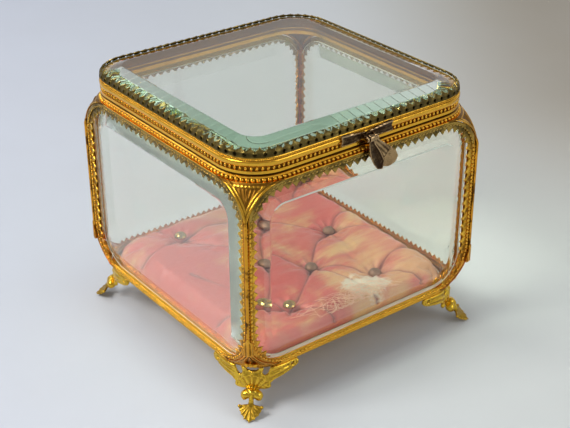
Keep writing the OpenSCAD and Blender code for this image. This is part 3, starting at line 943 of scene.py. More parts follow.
class CASKET_OT_gussets(bpy.types.Operator):
    """Makes the ball-shaped corners above and below the posts, pressed with ribs and leaves"""
    bl_idname = "casket.gussets"
    bl_label = "Corner gussets"

    def execute(self, context):
        ball = SIDE_R * math.sqrt(2) + 0.1
        centre = HALF - SIDE_R
        cut = SIDE_R - 0.08
        # tuck: how far each reaches past the frames, under the rim or over the foot ring
        for name, node_name, zc, up, tuck in (
                ("upper_corner", "upper_gussets", SIDE_Z1 - SIDE_R, 1, 0.55),
                ("lower_corner", "lower_gussets", SIDE_Z0 + SIDE_R, -1, 0.16)):
            obj = start(name, "uv_sphere", segments=48, ring_count=24, radius=ball)
            edit(obj)
            remove(lambda f: max(f.calc_center_median().xy) > 0 or
                   f.calc_center_median().z * up < 1)
            pick_all()
            bpy.ops.mesh.subdivide(number_cuts=9)
            rest()
            co = points_of(obj)
            set_points(obj, co * (ball / np.linalg.norm(co, axis=1))[:, None])
            edit(obj)
            for normal, at in (((-1, 0, 0), cut), ((0, -1, 0), cut), ((0, 0, up), cut + tuck),
                               ((0, 0, -up), -2.2)):
                pick_all()
                bpy.ops.mesh.bisect(plane_co=Vector(normal) * at, plane_no=normal,
                                    clear_outer=True, threshold=1e-3)
            rest()

            def relief(p, n):
                a, b, e = -p[:, 0], -p[:, 1], p[:, 2] * up
                near = np.minimum(cut - a, cut - b)
                arms = ridge_at(near, 0.35, 0.3, 0.42) + ridge_at(near, 1.35, 0.32, 0.38)
                top = cut - e
                rope = ridge_at(top, 0.7, 0.45, 0.35) * (0.75 + 0.25 * np.sin((a - b) * 2.6))
                inside = np.clip((near - 1.9) / 0.6, 0, 1) * np.clip((top - 1.3) / 0.5, 0, 1)
                side = a - b
                vein = ridge_at(side, 0, 0.35, 0.4)
                fan = np.arctan2(side, e + 5.0)
                if up < 0:
                    leaf = 0.3 * np.cos(fan * 30)
                else:
                    leaf = 0.16 * np.cos(np.abs(side) * 2.6 - e * 1.3)
                hollow = 0.25 * np.clip(near, 0, 1) * np.clip(top, 0, 1)
                return arms + rope + inside * (vein + leaf) - hollow

            press(obj, relief)
            change(obj, "SOLIDIFY", thickness=0.55, offset=-1)
            place(obj, shift(-centre, -centre, zc))
            if up < 0:
                obj = join(name, [obj, self.spear(), *self.drops()])

            # Darker on the field inside the arms; painted shade along the edge that tucks under
            # the rim or lies over the foot ring; the drops are kept at full bright gilt
            def darker_inside_and_edge_shade(p):
                near = cut + centre - np.maximum(np.abs(p[:, 0]), np.abs(p[:, 1]))
                top = cut - (p[:, 2] - zc) * up
                inside = np.clip((near - 1.7) / 0.5, 0, 1) * np.clip((top - 1.1) / 0.5, 0, 1)
                drops = (np.abs(p[:, 2] - DROPS_Z) < 1.1) & (out_to(p) > DROPS_FROM)
                return inside * (0.85 if up > 0 else 0.05) + 0.6 * (top < 0.2) - 2.0 * drops

            finish(all_round(name, obj), look("gilt"), "casket", node_name, slot="gilt_brass",
                   smooth=60, dull=darker_inside_and_edge_shade)
        return {"FINISHED"}

    def drops(self):
        """Three round drops in a row across the corner, under the lower piece."""
        made = []
        for side in (-1, 0, 1):
            away = Vector((1, -1, 0)).normalized() * side * 1.9
            spot = Vector((-1, -1, 0)).normalized() * DROPS_OUT + away
            drop = bead(f"drop{side}", 1.15, 1.15, 1.15, 14, 10)
            made.append(place(drop, shift(spot.x, spot.y, DROPS_Z)))
        return made

    def spear(self):
        """The leaf that stands on the lower piece, over the foot of the post."""
        leaf = sheet("spear", [(-2.5, 0), (2.5, 0), (2.2, 2.2), (1.5, 5.0), (0.7, 7.6), (0, 9.4),
                               (-0.7, 7.6), (-1.5, 5.0), (-2.2, 2.2)], 0.8)
        recast(leaf, 0.2)
        press(leaf, lambda p, n: np.clip(n[:, 2], 0, 1) * (0.3 + 0.2 * np.cos(p[:, 0] * 5.2)))
        wrap_corner(leaf, HALF, 1.3)
        return place(leaf, shift(0, 0, POST_Z0 - 1.0))


class CASKET_OT_base(bpy.types.Operator):
    """Makes the ring under the glass and the small toothed gallery round the cushion"""
    bl_idname = "casket.base"
    bl_label = "Base"

    def execute(self, context):
        z0 = SIDE_Z0 - 2.2
        ring = moulding("foot_ring", [(-4.7, z0), (-0.8, z0), (-0.25, z0 + 0.25), (0, z0 + 0.7),
                                      (-0.1, z0 + 1.2), (-0.4, z0 + 1.4), (-0.2, z0 + 1.7),
                                      (-0.5, z0 + 2.1), (-4.7, z0 + 2.1)], HALF - 0.4,
                        SIDE_R - 0.4)
        twist = beads_along("twist", (0.62, 0.3, 0.42), square_path(HALF - 0.45, SIDE_R - 0.45),
                            1.1, z0 + 1.55)
        ring = join("foot_ring", [ring, twist])
        # The ring is painted darker all round, as shade low under the box, and darker still at the
        # corners
        finish(ring, look("gilt"), "casket", "base_ring", slot="gilt_brass", smooth=40,
               dull=lambda p: 0.14 + 0.2 * (out_to(p) > 121))
        self.gallery()
        refinish("base_plate", look("gilt_plain"))
        self.strips()
        return {"FINISHED"}

    def gallery(self):
        """The small toothed gallery inside the glass, low where the cushion shows over it."""
        low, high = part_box("base_gallery")
        half, z0, z1 = high[0] / MM, low[2] / MM, high[2] / MM
        radius = SIDE_R - 4.7
        run = half - radius
        # The wall is cut low along the front and the left
        top, ledge, pitch = z1 - 2.2, z0 + 2.4, 3.6
        wall = moulding("inner_gallery", [(-0.7, z0), (0, z0), (0, top), (-0.7, top)],
                        half, radius)
        reach, mid, z = half + run + 1, (run - half - 1) / 2, ledge + 4.5
        for size, at in (((reach, 6, 9), (mid, -half, z)), ((6, reach, 9), (-half, mid, z))):
            carve(wall, block("cutter", size, at))
        tooth = tooth_cell(pitch, 2.2, 0.3, 0.4)
        place(tooth, STAND)
        # From the front right corner, round by the right and the back, to the back left corner
        far = [p for p in square_path(half - 0.1, radius - 0.1)
               if p.x > run - 0.01 or p.y > run - 0.01]
        along(tooth, far, pitch, closed=False)
        place(tooth, shift(0, 0, top))
        roll = beads_along("roll", (0.7, 0.35, 0.4), far, 1.8, z1 - 3.0, closed=False)
        wall = join("inner_gallery", [wall, tooth, roll])
        finish(wall, look("gilt"), "casket", "base_gallery", slot="gilt_brass", smooth=40)

    def strips(self):
        """The toothed strips inside the corners, behind the posts."""
        low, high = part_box("corner_liners")
        inner, z0, z1 = high[0] / MM, low[2] / MM, high[2] / MM
        strip = block("strip", (2.2, 0.4, z1 - z0), (1.1, 0.25, (z0 + z1) / 2))
        change(strip, "BEVEL", width=0.12, segments=2)
        tooth = tooth_cell(4.4, 1.5, 0.6, 0.25)
        # The tooth's X turns upward, its Y along the wall and its thickness inward
        place(tooth, shift(2.2, 0.45, z0 + 1) @
              Matrix(((0, 1, 0, 0), (0, 0, 1, 0), (1, 0, 0, 0), (0, 0, 0, 1))))
        row(tooth, int((z1 - z0 - 2) / 4.4), (0, 0, 4.4))
        strips = with_swapped("inner_strips", join("half_strip", [strip, tooth]))
        place(strips, shift(-inner, -inner, 0))
        finish(all_round("inner_strips", strips), look("post"), "casket", "corner_liners",
               slot="gilt_brass", smooth=40)


class CASKET_OT_rim(bpy.types.Operator):
    """Makes the body's rim: its wall, the light edge at the seam and the rope of beads"""
    bl_idname = "casket.rim"
    bl_label = "Rim"

    def execute(self, context):
        z = SIDE_Z1 + 0.1
        rim = moulding("rim", [(-1.2, z), (1.4, z), (1.4, z + 0.5), (0.1, z + 0.55), (0, z + 0.8),
                               (0, SEAM_Z - 1.45), (0.28, SEAM_Z - 1.25), (0.4, SEAM_Z - 0.9),
                               (0.3, SEAM_Z - 0.5), (-0.3, SEAM_Z - 0.2), (-0.7, SEAM_Z),
                               (-3.2, SEAM_Z), (-3.2, SEAM_Z - 1), (-1.2, SEAM_Z - 1)],
                       SEAM_HALF, SEAM_R)
        # The top of the rim, in the seam, is painted dark as shade
        finish(rim, look("gilt"), "casket", "rim_frame", slot="gilt_brass", smooth=35,
               dull=lambda p: 0.9 * (p[:, 2] > SEAM_Z - 0.4))
        pearl = beads_along("pearl", (1.08, 0.78, 0.78), seam_path(-0.25),
                            sizes().bead_pitch / MM, SIDE_Z1 + 1.35, 10, 8, lean=-24)
        finish(pearl, look("gilt"), "casket", "rim_beading", slot="gilt_brass", smooth=60)
        return {"FINISHED"}


class CASKET_OT_lid(bpy.types.Operator):
    """Makes the lid's band: fillet, row of pits between bars, swelling band and rope"""
    bl_idname = "casket.lid"
    bl_label = "Lid band"

    def execute(self, context):
        z = LID_Z0
        band = moulding("lid_band", [
            (-5.5, LEDGE_Z - 1), (-2.0, LEDGE_Z - 1), (-2.0, z + 1), (-3.2, z + 1), (-3.2, z),
            (-0.7, z), (-0.35, z + 0.2), (0, z + 0.45), (-0.05, z + 1.3), (-0.12, z + 1.75),
            (-0.95, z + 1.9), (-1.05, z + 2.8), (-0.95, z + 3.7), (-0.12, z + 3.85),
            (0.12, z + 4.2), (0.36, z + 4.9), (0.42, z + 5.6), (0.3, z + 6.2), (0.0, z + 6.5),
            (-0.25, z + 6.6), (-0.3, z + 7.5), (-0.6, LEDGE_Z), (-5.5, LEDGE_Z)],
            SEAM_HALF, SEAM_R, steps=12)
        # The foot of the band, in the seam, is painted dark as shade
        finish(band, look("gilt"), "lid", "lid_frame", slot="gilt_brass", smooth=35,
               dull=lambda p: 0.9 * (p[:, 2] < LID_Z0 + 0.3))
        bar = beads_along("bar", (0.76, 0.78, 0.98), seam_path(0.62), sizes().pit_pitch / MM,
                          z + 2.82)
        rope = beads_along("rope", (0.62, 0.36, 0.34), seam_path(0.2), 0.95, z + 7.1, lean=35)
        finish(join("lid_pearls", [bar, rope]), look("gilt"), "lid", "lid_beading",
               slot="gilt_brass", smooth=60)
        return {"FINISHED"}


class CASKET_OT_gallery(bpy.types.Operator):
    """Makes the pierced gallery that leans in over the lid's glass"""
    bl_idname = "casket.gallery"
    bl_label = "Lid gallery"

    def execute(self, context):
        pitch = sizes().tooth_pitch / MM
        # The right half of a leaf, its points first given as so far in from the cell's end
        half_leaf = [(pitch - x, y) for x, y in (
            (0, 0), (0, 0.7), (0.6, 0.95), (0.85, 1.5), (0.6, 2.05), (0, 2.35), (0, 2.8),
            (0.45, 2.95), (0.7, 3.35), (1.25, 3.5))]
        half_leaf += [(pitch / 2 + 0.6, 4.15), (pitch / 2, 5.2)]
        leaf = sheet("leaf", both_sides(half_leaf, pitch, (0, 0)), 0.3)
        pick_up_facing()
        inset(0.16, 0.28)
        inset(0.22, -0.16)
        cut_ends(pitch)
        self.fold(leaf)
        along(leaf, seam_path(0.35), pitch)
        place(leaf, shift(0, 0, LEDGE_Z + 0.1))
        dot = beads_along("dot", (0.5, 0.4, 0.4), seam_path(0.5), pitch / 4, LEDGE_Z + 0.45)
        # A dark strip behind the leaves hides the glass's ground edge and stands for the shade
        # there
        strip = moulding("strip", [(-0.2, LEDGE_Z), (0, LEDGE_Z), (0, LEDGE_Z + 2.1),
                                   (-0.2, LEDGE_Z + 2.1)], SEAM_HALF - 1.15, SEAM_R - 1.15)
        whole = join("gallery", [leaf, dot, strip])
        # The strip and the low inner part of the leaves are painted darker still, as shade behind
        # the gallery
        finish(whole, look("gallery"), "lid", "lid_gallery", slot="aged_brass", smooth=35,
               dull=lambda p: 0.5 * (np.maximum(np.abs(p[:, 0]), np.abs(p[:, 1])) < 67.5) *
               (p[:, 2] < LEDGE_Z + 2.2))
        return {"FINISHED"}

    def fold(self, leaf):
        """Folds the strip of leaves: up from the ledge, then in over the glass."""
        co = points_of(leaf)
        lean = sizes().gallery_lean
        wall, head = np.clip(co[:, 1], None, 2.6), np.clip(co[:, 1] - 2.6, 0, None)
        bent = co[:, 1] > 2.6
        back = np.where(bent, math.sin(lean), 0.985) * co[:, 2]
        lift = np.where(bent, math.cos(lean), 0.17) * co[:, 2]
        set_points(leaf, np.stack([co[:, 0], 0.17 * wall + math.cos(lean) * head - back,
                                   0.985 * wall + math.sin(lean) * head + lift], 1))


class CASKET_OT_hinge(bpy.types.Operator):
    """Gives the hinge, the catch and the spring their finishes"""
    bl_idname = "casket.hinge"
    bl_label = "Hinge"

    def execute(self, context):
        for name in ("hinge_leaf_body", "hinge_leaf_lid", "hinge_pin", "clasp_catch"):
            refinish(name, look("gilt_plain"))
        refinish("clasp_spring", look("steel"))
        refinish("clasp_pin", look("copper_plain"))
        return {"FINISHED"}


def satin_finish():
    """Rose satin faded to cream in streaks, worn to wadding; painted shade in hollows and creases,
    soiling in the creases, painted highlight on proud parts.
    """
    c = colours()
    f = Finish("rose_satin")
    broad = f.noise(24.0, 3.0, 0.55, distort=0.8)
    streak = f.noise(60.0, 4.0, 0.6, at=f.stretched((1.0, 8.0, 1.0), 0.5))
    lean_to = f.axis(0) * 0.9 - f.axis(1) * 0.8
    fade = f.band(broad * 1.15 + streak * 0.30 + lean_to, 0.66, 0.92)
    base = f.mix(fade, tuple(c.rose), tuple(c.cream))
    base = f.mix(f.band(f.noise(17.0, 2.0), 0.35, 0.7) * 0.4, base, (0.62, 0.175, 0.125))
    proud = f.attribute("wear")
    # Painted shade in the satin's hollows
    base = f.mix(f.band(proud, 0.5, 0.2) * 0.75, base, (0.30, 0.075, 0.065))
    # Painted highlight on what stands proud
    base = f.mix(f.band(proud, 0.56, 0.8) * 0.35, base, (0.78, 0.38, 0.30))
    # Soiling and painted shade in the creases
    base = f.mix(f.band(f.attribute("fold"), 0.5, 2.6) * 0.8, base, (0.22, 0.055, 0.045))
    torn = f.add("ShaderNodeVectorMath", {"operation": "DISTANCE"},
                 {0: f.place, 1: (0.0145, -0.051, 0.036)}, out=1)
    torn = f.band(torn + (f.noise(150.0, 4.0, 0.7) - 0.5) * 0.03, 0.013, 0.007)
    base = f.mix(torn * 0.85, base, (0.74, 0.68, 0.55))
    warp = f.add("ShaderNodeTexWave", {"bands_direction": "X"},
                 {"Vector": f.place, "Scale": 900.0, "Distortion": 0.6, "Detail": 2.0})
    weave = f.bump(warp, 0.12, 0.0001)
    rumple = f.bump(f.noise(170.0, 4.0, 0.6, at=f.stretched((1.0, 3.0, 1.0), 0.5)), 0.45, 0.0009,
                    under=weave)
    gloss = f.span(streak, 0.32, 0.58)
    return f.done(f.shader(Base_Color=base, Roughness=gloss, Sheen_Weight=0.25,
                           Sheen_Roughness=0.35, Normal=rumple))


def card_finish():
    """Plain brown card."""
    f = Finish("card")
    base = f.mix(f.noise(90.0, 4.0), (0.42, 0.36, 0.26), (0.55, 0.49, 0.38))
    return f.done(f.shader(Base_Color=base, Roughness=0.9,
                           Normal=f.bump(f.noise(900.0, 3.0), 0.3, 0.0002)))


# Where the buttons pull the satin in, as shares of half the cushion's width
TUFTS = [(-0.46, 0.71), (-0.42, -0.67), (0.1, -0.28), (0.59, 0.1), (0.45, -0.66), (0.12, 0.68)]
# Creases in the satin: from a tuft, by its place in the list, to another or to a place at the edge
CREASES = [(0, 5), (2, 1), (2, 4), (2, 3), (3, 5), (2, 0), (1, (-0.2, -0.98)), (1, (-0.98, -0.5)),
           (1, (-0.75, 0.1)), (4, (0.7, -0.98)), (4, (0.98, -0.55)), (3, (0.98, 0.25)),
           (3, (0.98, -0.3)), (0, (-0.98, 0.55)), (0, (-0.55, 0.98)), (5, (0.3, 0.98)),
           (2, (0.22, -0.98))]


class CASKET_OT_cushion(bpy.types.Operator):
    """Makes the tufted satin cushion, its buttons, its frayed silk and the card under it"""
    bl_idname = "casket.cushion"
    bl_label = "Cushion"

    def execute(self, context):
        low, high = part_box("cushion")
        half, z0, z1 = high[0] / MM, low[2] / MM, high[2] / MM
        pad = block("cushion_satin", (2 * half - 2, 2 * half - 2, z1 - 4 - z0),
                    (0, 0, (z0 + z1 - 4) / 2))
        edit(pad)
        pick(lambda e: abs(e.verts[0].co.z - e.verts[1].co.z) > 1, "edges")
        bpy.ops.mesh.bevel(offset=15, segments=8)
        pick_up_facing()
        inset(7, 1.6)
        recast(pad, 2.2)
        co = points_of(pad)
        spots = np.array(TUFTS) * half
        away = np.sqrt(((co[:, None, :2] - spots[None]) ** 2).sum(2)).min(1)
        top = co[:, 2] > z0 + 2.5
        pull = np.where(top, np.exp(-(away / 7.0) ** 2) * sizes().tuft_drop / MM, 0)
        co[:, 2] -= pull
        set_points(pad, co)
        self.stuff(pad, co, (away < 2.4) & top | (co[:, 2] < z0 + 0.6))
        change(pad, "SUBSURF", levels=2, render_levels=2)
        self.crease(pad, half, z0, z1)
        finish(pad, satin_finish(), "casket", "cushion", slot="rose_satin", smooth=180)
        refinish("cushion_board", card_finish())
        self.buttons(half)
        self.fray(z1)
        return {"FINISHED"}

    def stuff(self, pad, before, held):
        """Blows the pad up with cloth pressure; what is held stays where it is."""
        group = pad.vertex_groups.new(name="held")
        group.add([int(i) for i in np.where(held)[0]], 1.0, "REPLACE")
        # The cloth settles at ten times its real size, over this many frames
        scale, frames = MM * 10, 20
        place(pad, Matrix.Scale(scale, 4))
        take(pad)
        cloth = pad.modifiers.new("stuffing", "CLOTH")
        cloth.settings.use_pressure = True
        cloth.settings.uniform_pressure_force = 4.0
        cloth.settings.vertex_group_mass = "held"
        cloth.settings.effector_weights.gravity = 0.0
        cloth.point_cache.frame_end = frames
        for step in range(1, frames + 1):
            bpy.context.scene.frame_set(step)
        bpy.ops.object.modifier_apply(modifier=cloth.name)
        bpy.context.scene.frame_set(1)
        place(pad, Matrix.Scale(1 / scale, 4))
        moved = points_of(pad) - before
        far = np.maximum(np.linalg.norm(moved, axis=1), 1e-9)
        cap = sizes().cushion_swell / MM
        set_points(pad, before + moved * (np.minimum(far, cap) / far)[:, None])

    def crease(self, pad, half, z0, z1):
        """Presses the creases and the small pleats round each button into the satin."""
        co = points_of(pad)
        top = np.clip((co[:, 2] - z0 - 3) / 3, 0, 1)
        sink = np.zeros(len(co))
        for ends in CREASES:
            a, b = (np.array(TUFTS[end] if isinstance(end, int) else end) * half for end in ends)
            run = b - a
            share = np.clip(((co[:, :2] - a) @ run) / (run @ run), 0, 1)
            bow = 2.2 * np.sin(share * math.pi)
            side = np.array([-run[1], run[0]]) / np.linalg.norm(run)
            line = a + share[:, None] * run + bow[:, None] * side
            gap = np.linalg.norm(co[:, :2] - line, axis=1)
            deep = 3.0 - 1.5 * np.sin(share * math.pi)
            sink = np.maximum(sink, deep * np.exp(-np.abs(gap / 1.5) ** 1.3))
        for i, spot in enumerate(np.array(TUFTS) * half):
            off = co[:, :2] - spot
            r = np.linalg.norm(off, axis=1)
            turn = np.arctan2(off[:, 1], off[:, 0])
            sink += 0.55 * np.cos(turn * 9 + i) * np.exp(-((r - 6) / 4) ** 2)
            sink += 1.4 * np.exp(-(r / 3.4) ** 2)
        # How deep each point is pressed, kept for the soiling and painted shade in the creases
        fold = pad.data.attributes.new("fold", "FLOAT", "POINT")
        fold.data.foreach_set("value", (sink * top).astype(np.float32))
        wrinkle = np.array([noise.noise(Vector((p[0] * 0.09, p[1] * 0.22, 3.7))) for p in co])
        co[:, 2] += top * (0.9 * wrinkle - sink)
        # The last bit under the CAD's top is pressed down softly, so that nothing stands over it
        high = z1 - 0.15
        over = np.maximum(co[:, 2] - (high - 1.2), 0)
        co[:, 2] = np.where(over > 0, high - 1.2 + 1.2 * np.tanh(over / 1.2), co[:, 2])
        co[:, 2] = np.maximum(co[:, 2], z0)
        co[:, :2] = np.clip(co[:, :2], -half + 0.1, half - 0.1)
        set_points(pad, co)

    def buttons(self, half):
        """Domed brass buttons on the tufts, all but the first two sunk deeper in the satin."""
        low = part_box("cushion_buttons")[0]
        made = []
        for i, (x, y) in enumerate(TUFTS):
            cap = start(f"button{i}", "uv_sphere", segments=28, ring_count=16, radius=3.4)
            edit(cap)
            bpy.ops.mesh.bisect(plane_co=(0, 0, 0), plane_no=(0, 0, -1), clear_outer=True,
                                use_fill=True)
            pick(lambda f: f.normal.z < -0.9, "faces")
            inset(0.3)
            press(cap, lambda p, n: 0.12 * np.clip(n[:, 2] * 3, 0, 1) * np.array(
                [noise.noise(Vector(q) * 0.8 + Vector((i, 0, 0))) for q in p]))
            sunk = 0 if i < 2 else 2.5
            place(cap, shift(x * half, y * half, low[2] / MM - sunk) @
                  Matrix.Diagonal((1, 1, 0.75, 1)))
            made.append(cap)
        # The sunk buttons are painted darker, as shade in their pits
        finish(join("cushion_studs", made), look("button"), "casket", "cushion_buttons",
               slot="button_brass", smooth=60,
               dull=lambda p: 0.45 * ((p[:, 0] > 0) & (p[:, 1] < 30) | (p[:, 0] > 5)))

    def fray(self, z1):
        """Loose silk threads over the torn place, each a thin bent wire of silk."""
        rng = random.Random(7)
        data = bpy.data.curves.new("threads", "CURVE")
        data.dimensions = "3D"
        data.bevel_depth = 0.1
        data.bevel_resolution = 0
        steps = 6
        for _ in range(150):
            line = data.splines.new("POLY")
            line.points.add(steps)
            x, y = -2 + rng.gauss(0, 11), -55 + rng.gauss(0, 3.5)
            turn = rng.gauss(-0.9, 0.9)
            reach, bow = rng.uniform(5, 13), rng.uniform(-0.5, 0.5)
            for k, spot in enumerate(line.points):
                share = k / steps
                z = z1 - 0.5 - 0.1 * rng.random() + 0.9 * math.sin(share * math.pi) - 0.05 * k
                spot.co = (x + reach * share * math.cos(turn + bow * share),
                           max(-62.5, y + reach * share * math.sin(turn + bow * share)), z, 1)
        obj = bpy.data.objects.new("silk_threads", data)
        bpy.context.scene.collection.objects.link(obj)
        take(obj)
        bpy.ops.object.convert(target="MESH")
        f = Finish("frayed_silk")
        base = f.mix(f.noise(90.0), (0.82, 0.56, 0.32), (0.84, 0.44, 0.32))
        silk = f.done(f.shader(Base_Color=base, Roughness=0.4, Sheen_Weight=0.3))
        finish(obj, silk, "casket", slot="rose_satin", worn=False)


def foot_plate():
    """The foot's pierced plate, flat: X along the wall, Y up, its face toward +Z."""
    right = [(1.8, 9.6), (3.4, 10.9), (5.6, 10.6), (7.8, 10.8), (9.0, 12.2), (8.7, 14.2),
             (10.4, 15.6), (13, 16.4), (16.5, 17.1), (20.2, 17.9), (23.2, 18.8), (24.6, 20.4),
             (24.4, 22.3), (22.9, 23.1), (8.9, 23.1), (8.5, 21.2), (7.6, 19.2), (6.6, 18.3),
             (5.5, 18.8), (4.9, 20.3), (5.5, 22.0), (5.6, 23.1), (3.5, 23.1), (3.1, 22.0),
             (1.6, 21.3)]
    outline = right + [(-x, y) for x, y in reversed(right)]
    plate = sheet("plate", outline, 1.3)
    eye = 20.9
    for x in (eye, -eye):
        carve(plate, start("eye", "cylinder", vertices=16, radius=0.75, depth=6,
                           location=(x, eye, 0)))
    recast(plate, 0.34)

    def relief(p, n):
        u, z = np.abs(p[:, 0]), p[:, 1]
        face = np.clip(n[:, 2], 0, 1)
        ball = 1 - (u / 6.6) ** 2 - ((z - 16.0) / 5.8) ** 2
        dome = 0.9 * np.clip(ball, 0, 1) ** 0.6
        spread = np.arctan2(u, z - 9.2)
        chevron = 0.36 * np.cos(spread * 17) * np.clip(ball * 3, 0, 1)
        chevron += ridge_at(np.hypot(u, z - 11.5), 7.6, 0.5, 0.35) * (z > 15)
        rib = ridge_at(u, 0, 0.4, 0.35) * np.clip(ball * 3, 0, 1)
        low = np.interp(u, [8.5, 13, 20.2, 24.6], [14.6, 16.4, 17.9, 20.4])
        share = (z - low) / np.maximum(23.1 - low, 0.5)
        wing = np.clip((u - 7.6) / 1.5, 0, 1)
        feather = wing * (0.3 * np.cos(share * 6.28 * 2.4) + 0.25)
        round_eye = np.hypot(u - eye, z - eye)
        scroll = ridge_at(round_eye, 1.6, 0.45, 0.5)
        lobe = 0.8 * np.exp(-(np.hypot(u - 7.4, z - 12.4) / 1.1) ** 2)
        return face * (dome + chevron + rib + feather * (round_eye > 2.4) + scroll + lobe)

    press(plate, relief)
    return plate


# How far out along the diagonal the knop stands
KNOP_OUT = 91.5


def foot_leg():
    """Knop and fan toe, drawn along +X as outward, X 0 being the knop's place."""
    parts = []

    def egg(at, size, tilt=0.0, turn=0.0):
        obj = bead("egg", *size, 20, 14)
        place(obj, Matrix.Translation(at) @ Matrix.Rotation(turn, 4, "X") @
              Matrix.Rotation(tilt, 4, "Y"))
        parts.append(obj)

    knop_z = 9.2
    for side in (-1, 1):
        egg((-0.4, 2.7 * side, knop_z + 0.1), (2.5, 2.85, 2.3), 0, -0.5 * side)
        egg((0.0, 3.1 * side, knop_z - 1.2), (1.9, 1.9, 1.2), 0, -0.3 * side)
    egg((-0.2, 0, knop_z + 1.9), (2.0, 2.6, 1.6))
    egg((1.5, 0, knop_z + 0.6), (1.35, 0.95, 2.5), -0.25)
    egg((2.1, 0, knop_z - 1.3), (1.2, 1.2, 1.1))
    egg((2.3, 0, knop_z - 2.9), (1.3, 1.3, 2.4), -0.75)
    lean = math.radians(53)
    root = shift(2.7, 0, 5.5) @ Matrix.Rotation(-lean, 4, "Y")
    for k, reach in enumerate((9.0, 8.0, 6.9, 6.2, 5.9)):
        for side in (-1, 1) if k else (1,):
            rib = bead("rib", 0.6, 0.62, reach / 2, 14, 12)
            place(rib, root @ Matrix.Rotation(side * k * 0.34, 4, "X") @
                  shift(0.2, 0, -reach / 2))
            parts.append(rib)
    for side in (-1, 1):
        curl = bead("curl", 0.9, 0.9, 0.9, 12, 8)
        place(curl, root @ Matrix.Rotation(side * 1.38, 4, "X") @ shift(0.35, 0, -5.4))
        parts.append(curl)
    web = sheet("web", [(0, 0.5), (5.2, -0.8), (5.2, -2.6), (4.0, -4.8), (2.0, -7.0), (0, -8.4),
                        (-2.0, -7.0), (-4.0, -4.8), (-5.2, -2.6), (-5.2, -0.8)], 0.8, -0.5)
    place(web, root @ Matrix.Rotation(QUARTER, 4, "Z") @ STAND)
    parts.append(web)
    return join("leg", parts)


class CASKET_OT_feet(bpy.types.Operator):
    """Makes one cast foot with wings, cartouche, knop and fan toe, and copies it to the corners"""
    bl_idname = "casket.feet"
    bl_label = "Feet"

    def execute(self, context):
        plate = wrap_corner(foot_plate(), HALF - 1, SIDE_R - 1, -1.3)
        leg = foot_leg()
        place(leg, Matrix.Rotation(math.radians(225), 4, "Z") @ shift(KNOP_OUT, 0, 0))
        foot = join("foot", [plate, leg])
        recast(foot, 0.3)
        soften(foot, 0.5)
        edit(foot)
        bpy.ops.mesh.bisect(plane_co=(0, 0, 0.02), plane_no=(0, 0, -1), clear_outer=True,
                            use_fill=True)
        rest()
        for quarter, corner in enumerate(CORNERS):
            finish(turned(foot, quarter, f"{corner}_claw"), look("foot"), "casket",
                   f"{corner}_foot", slot="gilt_brass", smooth=60,
                   dull=lambda p: 0.3 * (p[:, 2] < 7))
        discard(foot)
        return {"FINISHED"}


# The clasp's outlines, seen from the front with the knot's middle at 0: X right and Y up
WING = [(1.2, -1.3), (4.0, -1.7), (8.5, -2.3), (12.5, -2.55), (15.3, -2.5), (14.6, 0.0),
        (15.3, 2.5), (12.5, 2.55), (8.5, 2.2), (4.0, 1.5), (1.2, 1.2)]
LEFT_TAIL = [(-1.2, 0), (-1.4, -3), (-1.0, -7), (0.0, -10.5), (1.6, -13.8), (4.0, -16.8),
             (6.2, -17.4), (7.8, -16), (8.2, -13), (6.8, -9.6), (5.2, -7.2), (2.6, -3.6), (1.2, 0)]
RIGHT_TAIL = [(0.4, 0.2), (3.2, -0.8), (6.6, -3.4), (11.4, -7.2), (15, -10.6), (16.3, -13.4),
              (14.6, -16.2), (11, -17.2), (7.8, -16.4), (6.6, -12), (4.4, -8), (1.0, -3.2)]
# The knot's place from side to side
KNOT_X = -2.0
# How close the lines of the clasp's knurled end lie
KNURL = 4.4


def tail_edge(y):
    """Where the left tail's right edge lies at each height of the clasp's drawing."""
    return np.interp(-y, (0, 3.6, 7.2, 13, 17), (0.7, 2.0, 4.5, 7.4, 6.5))


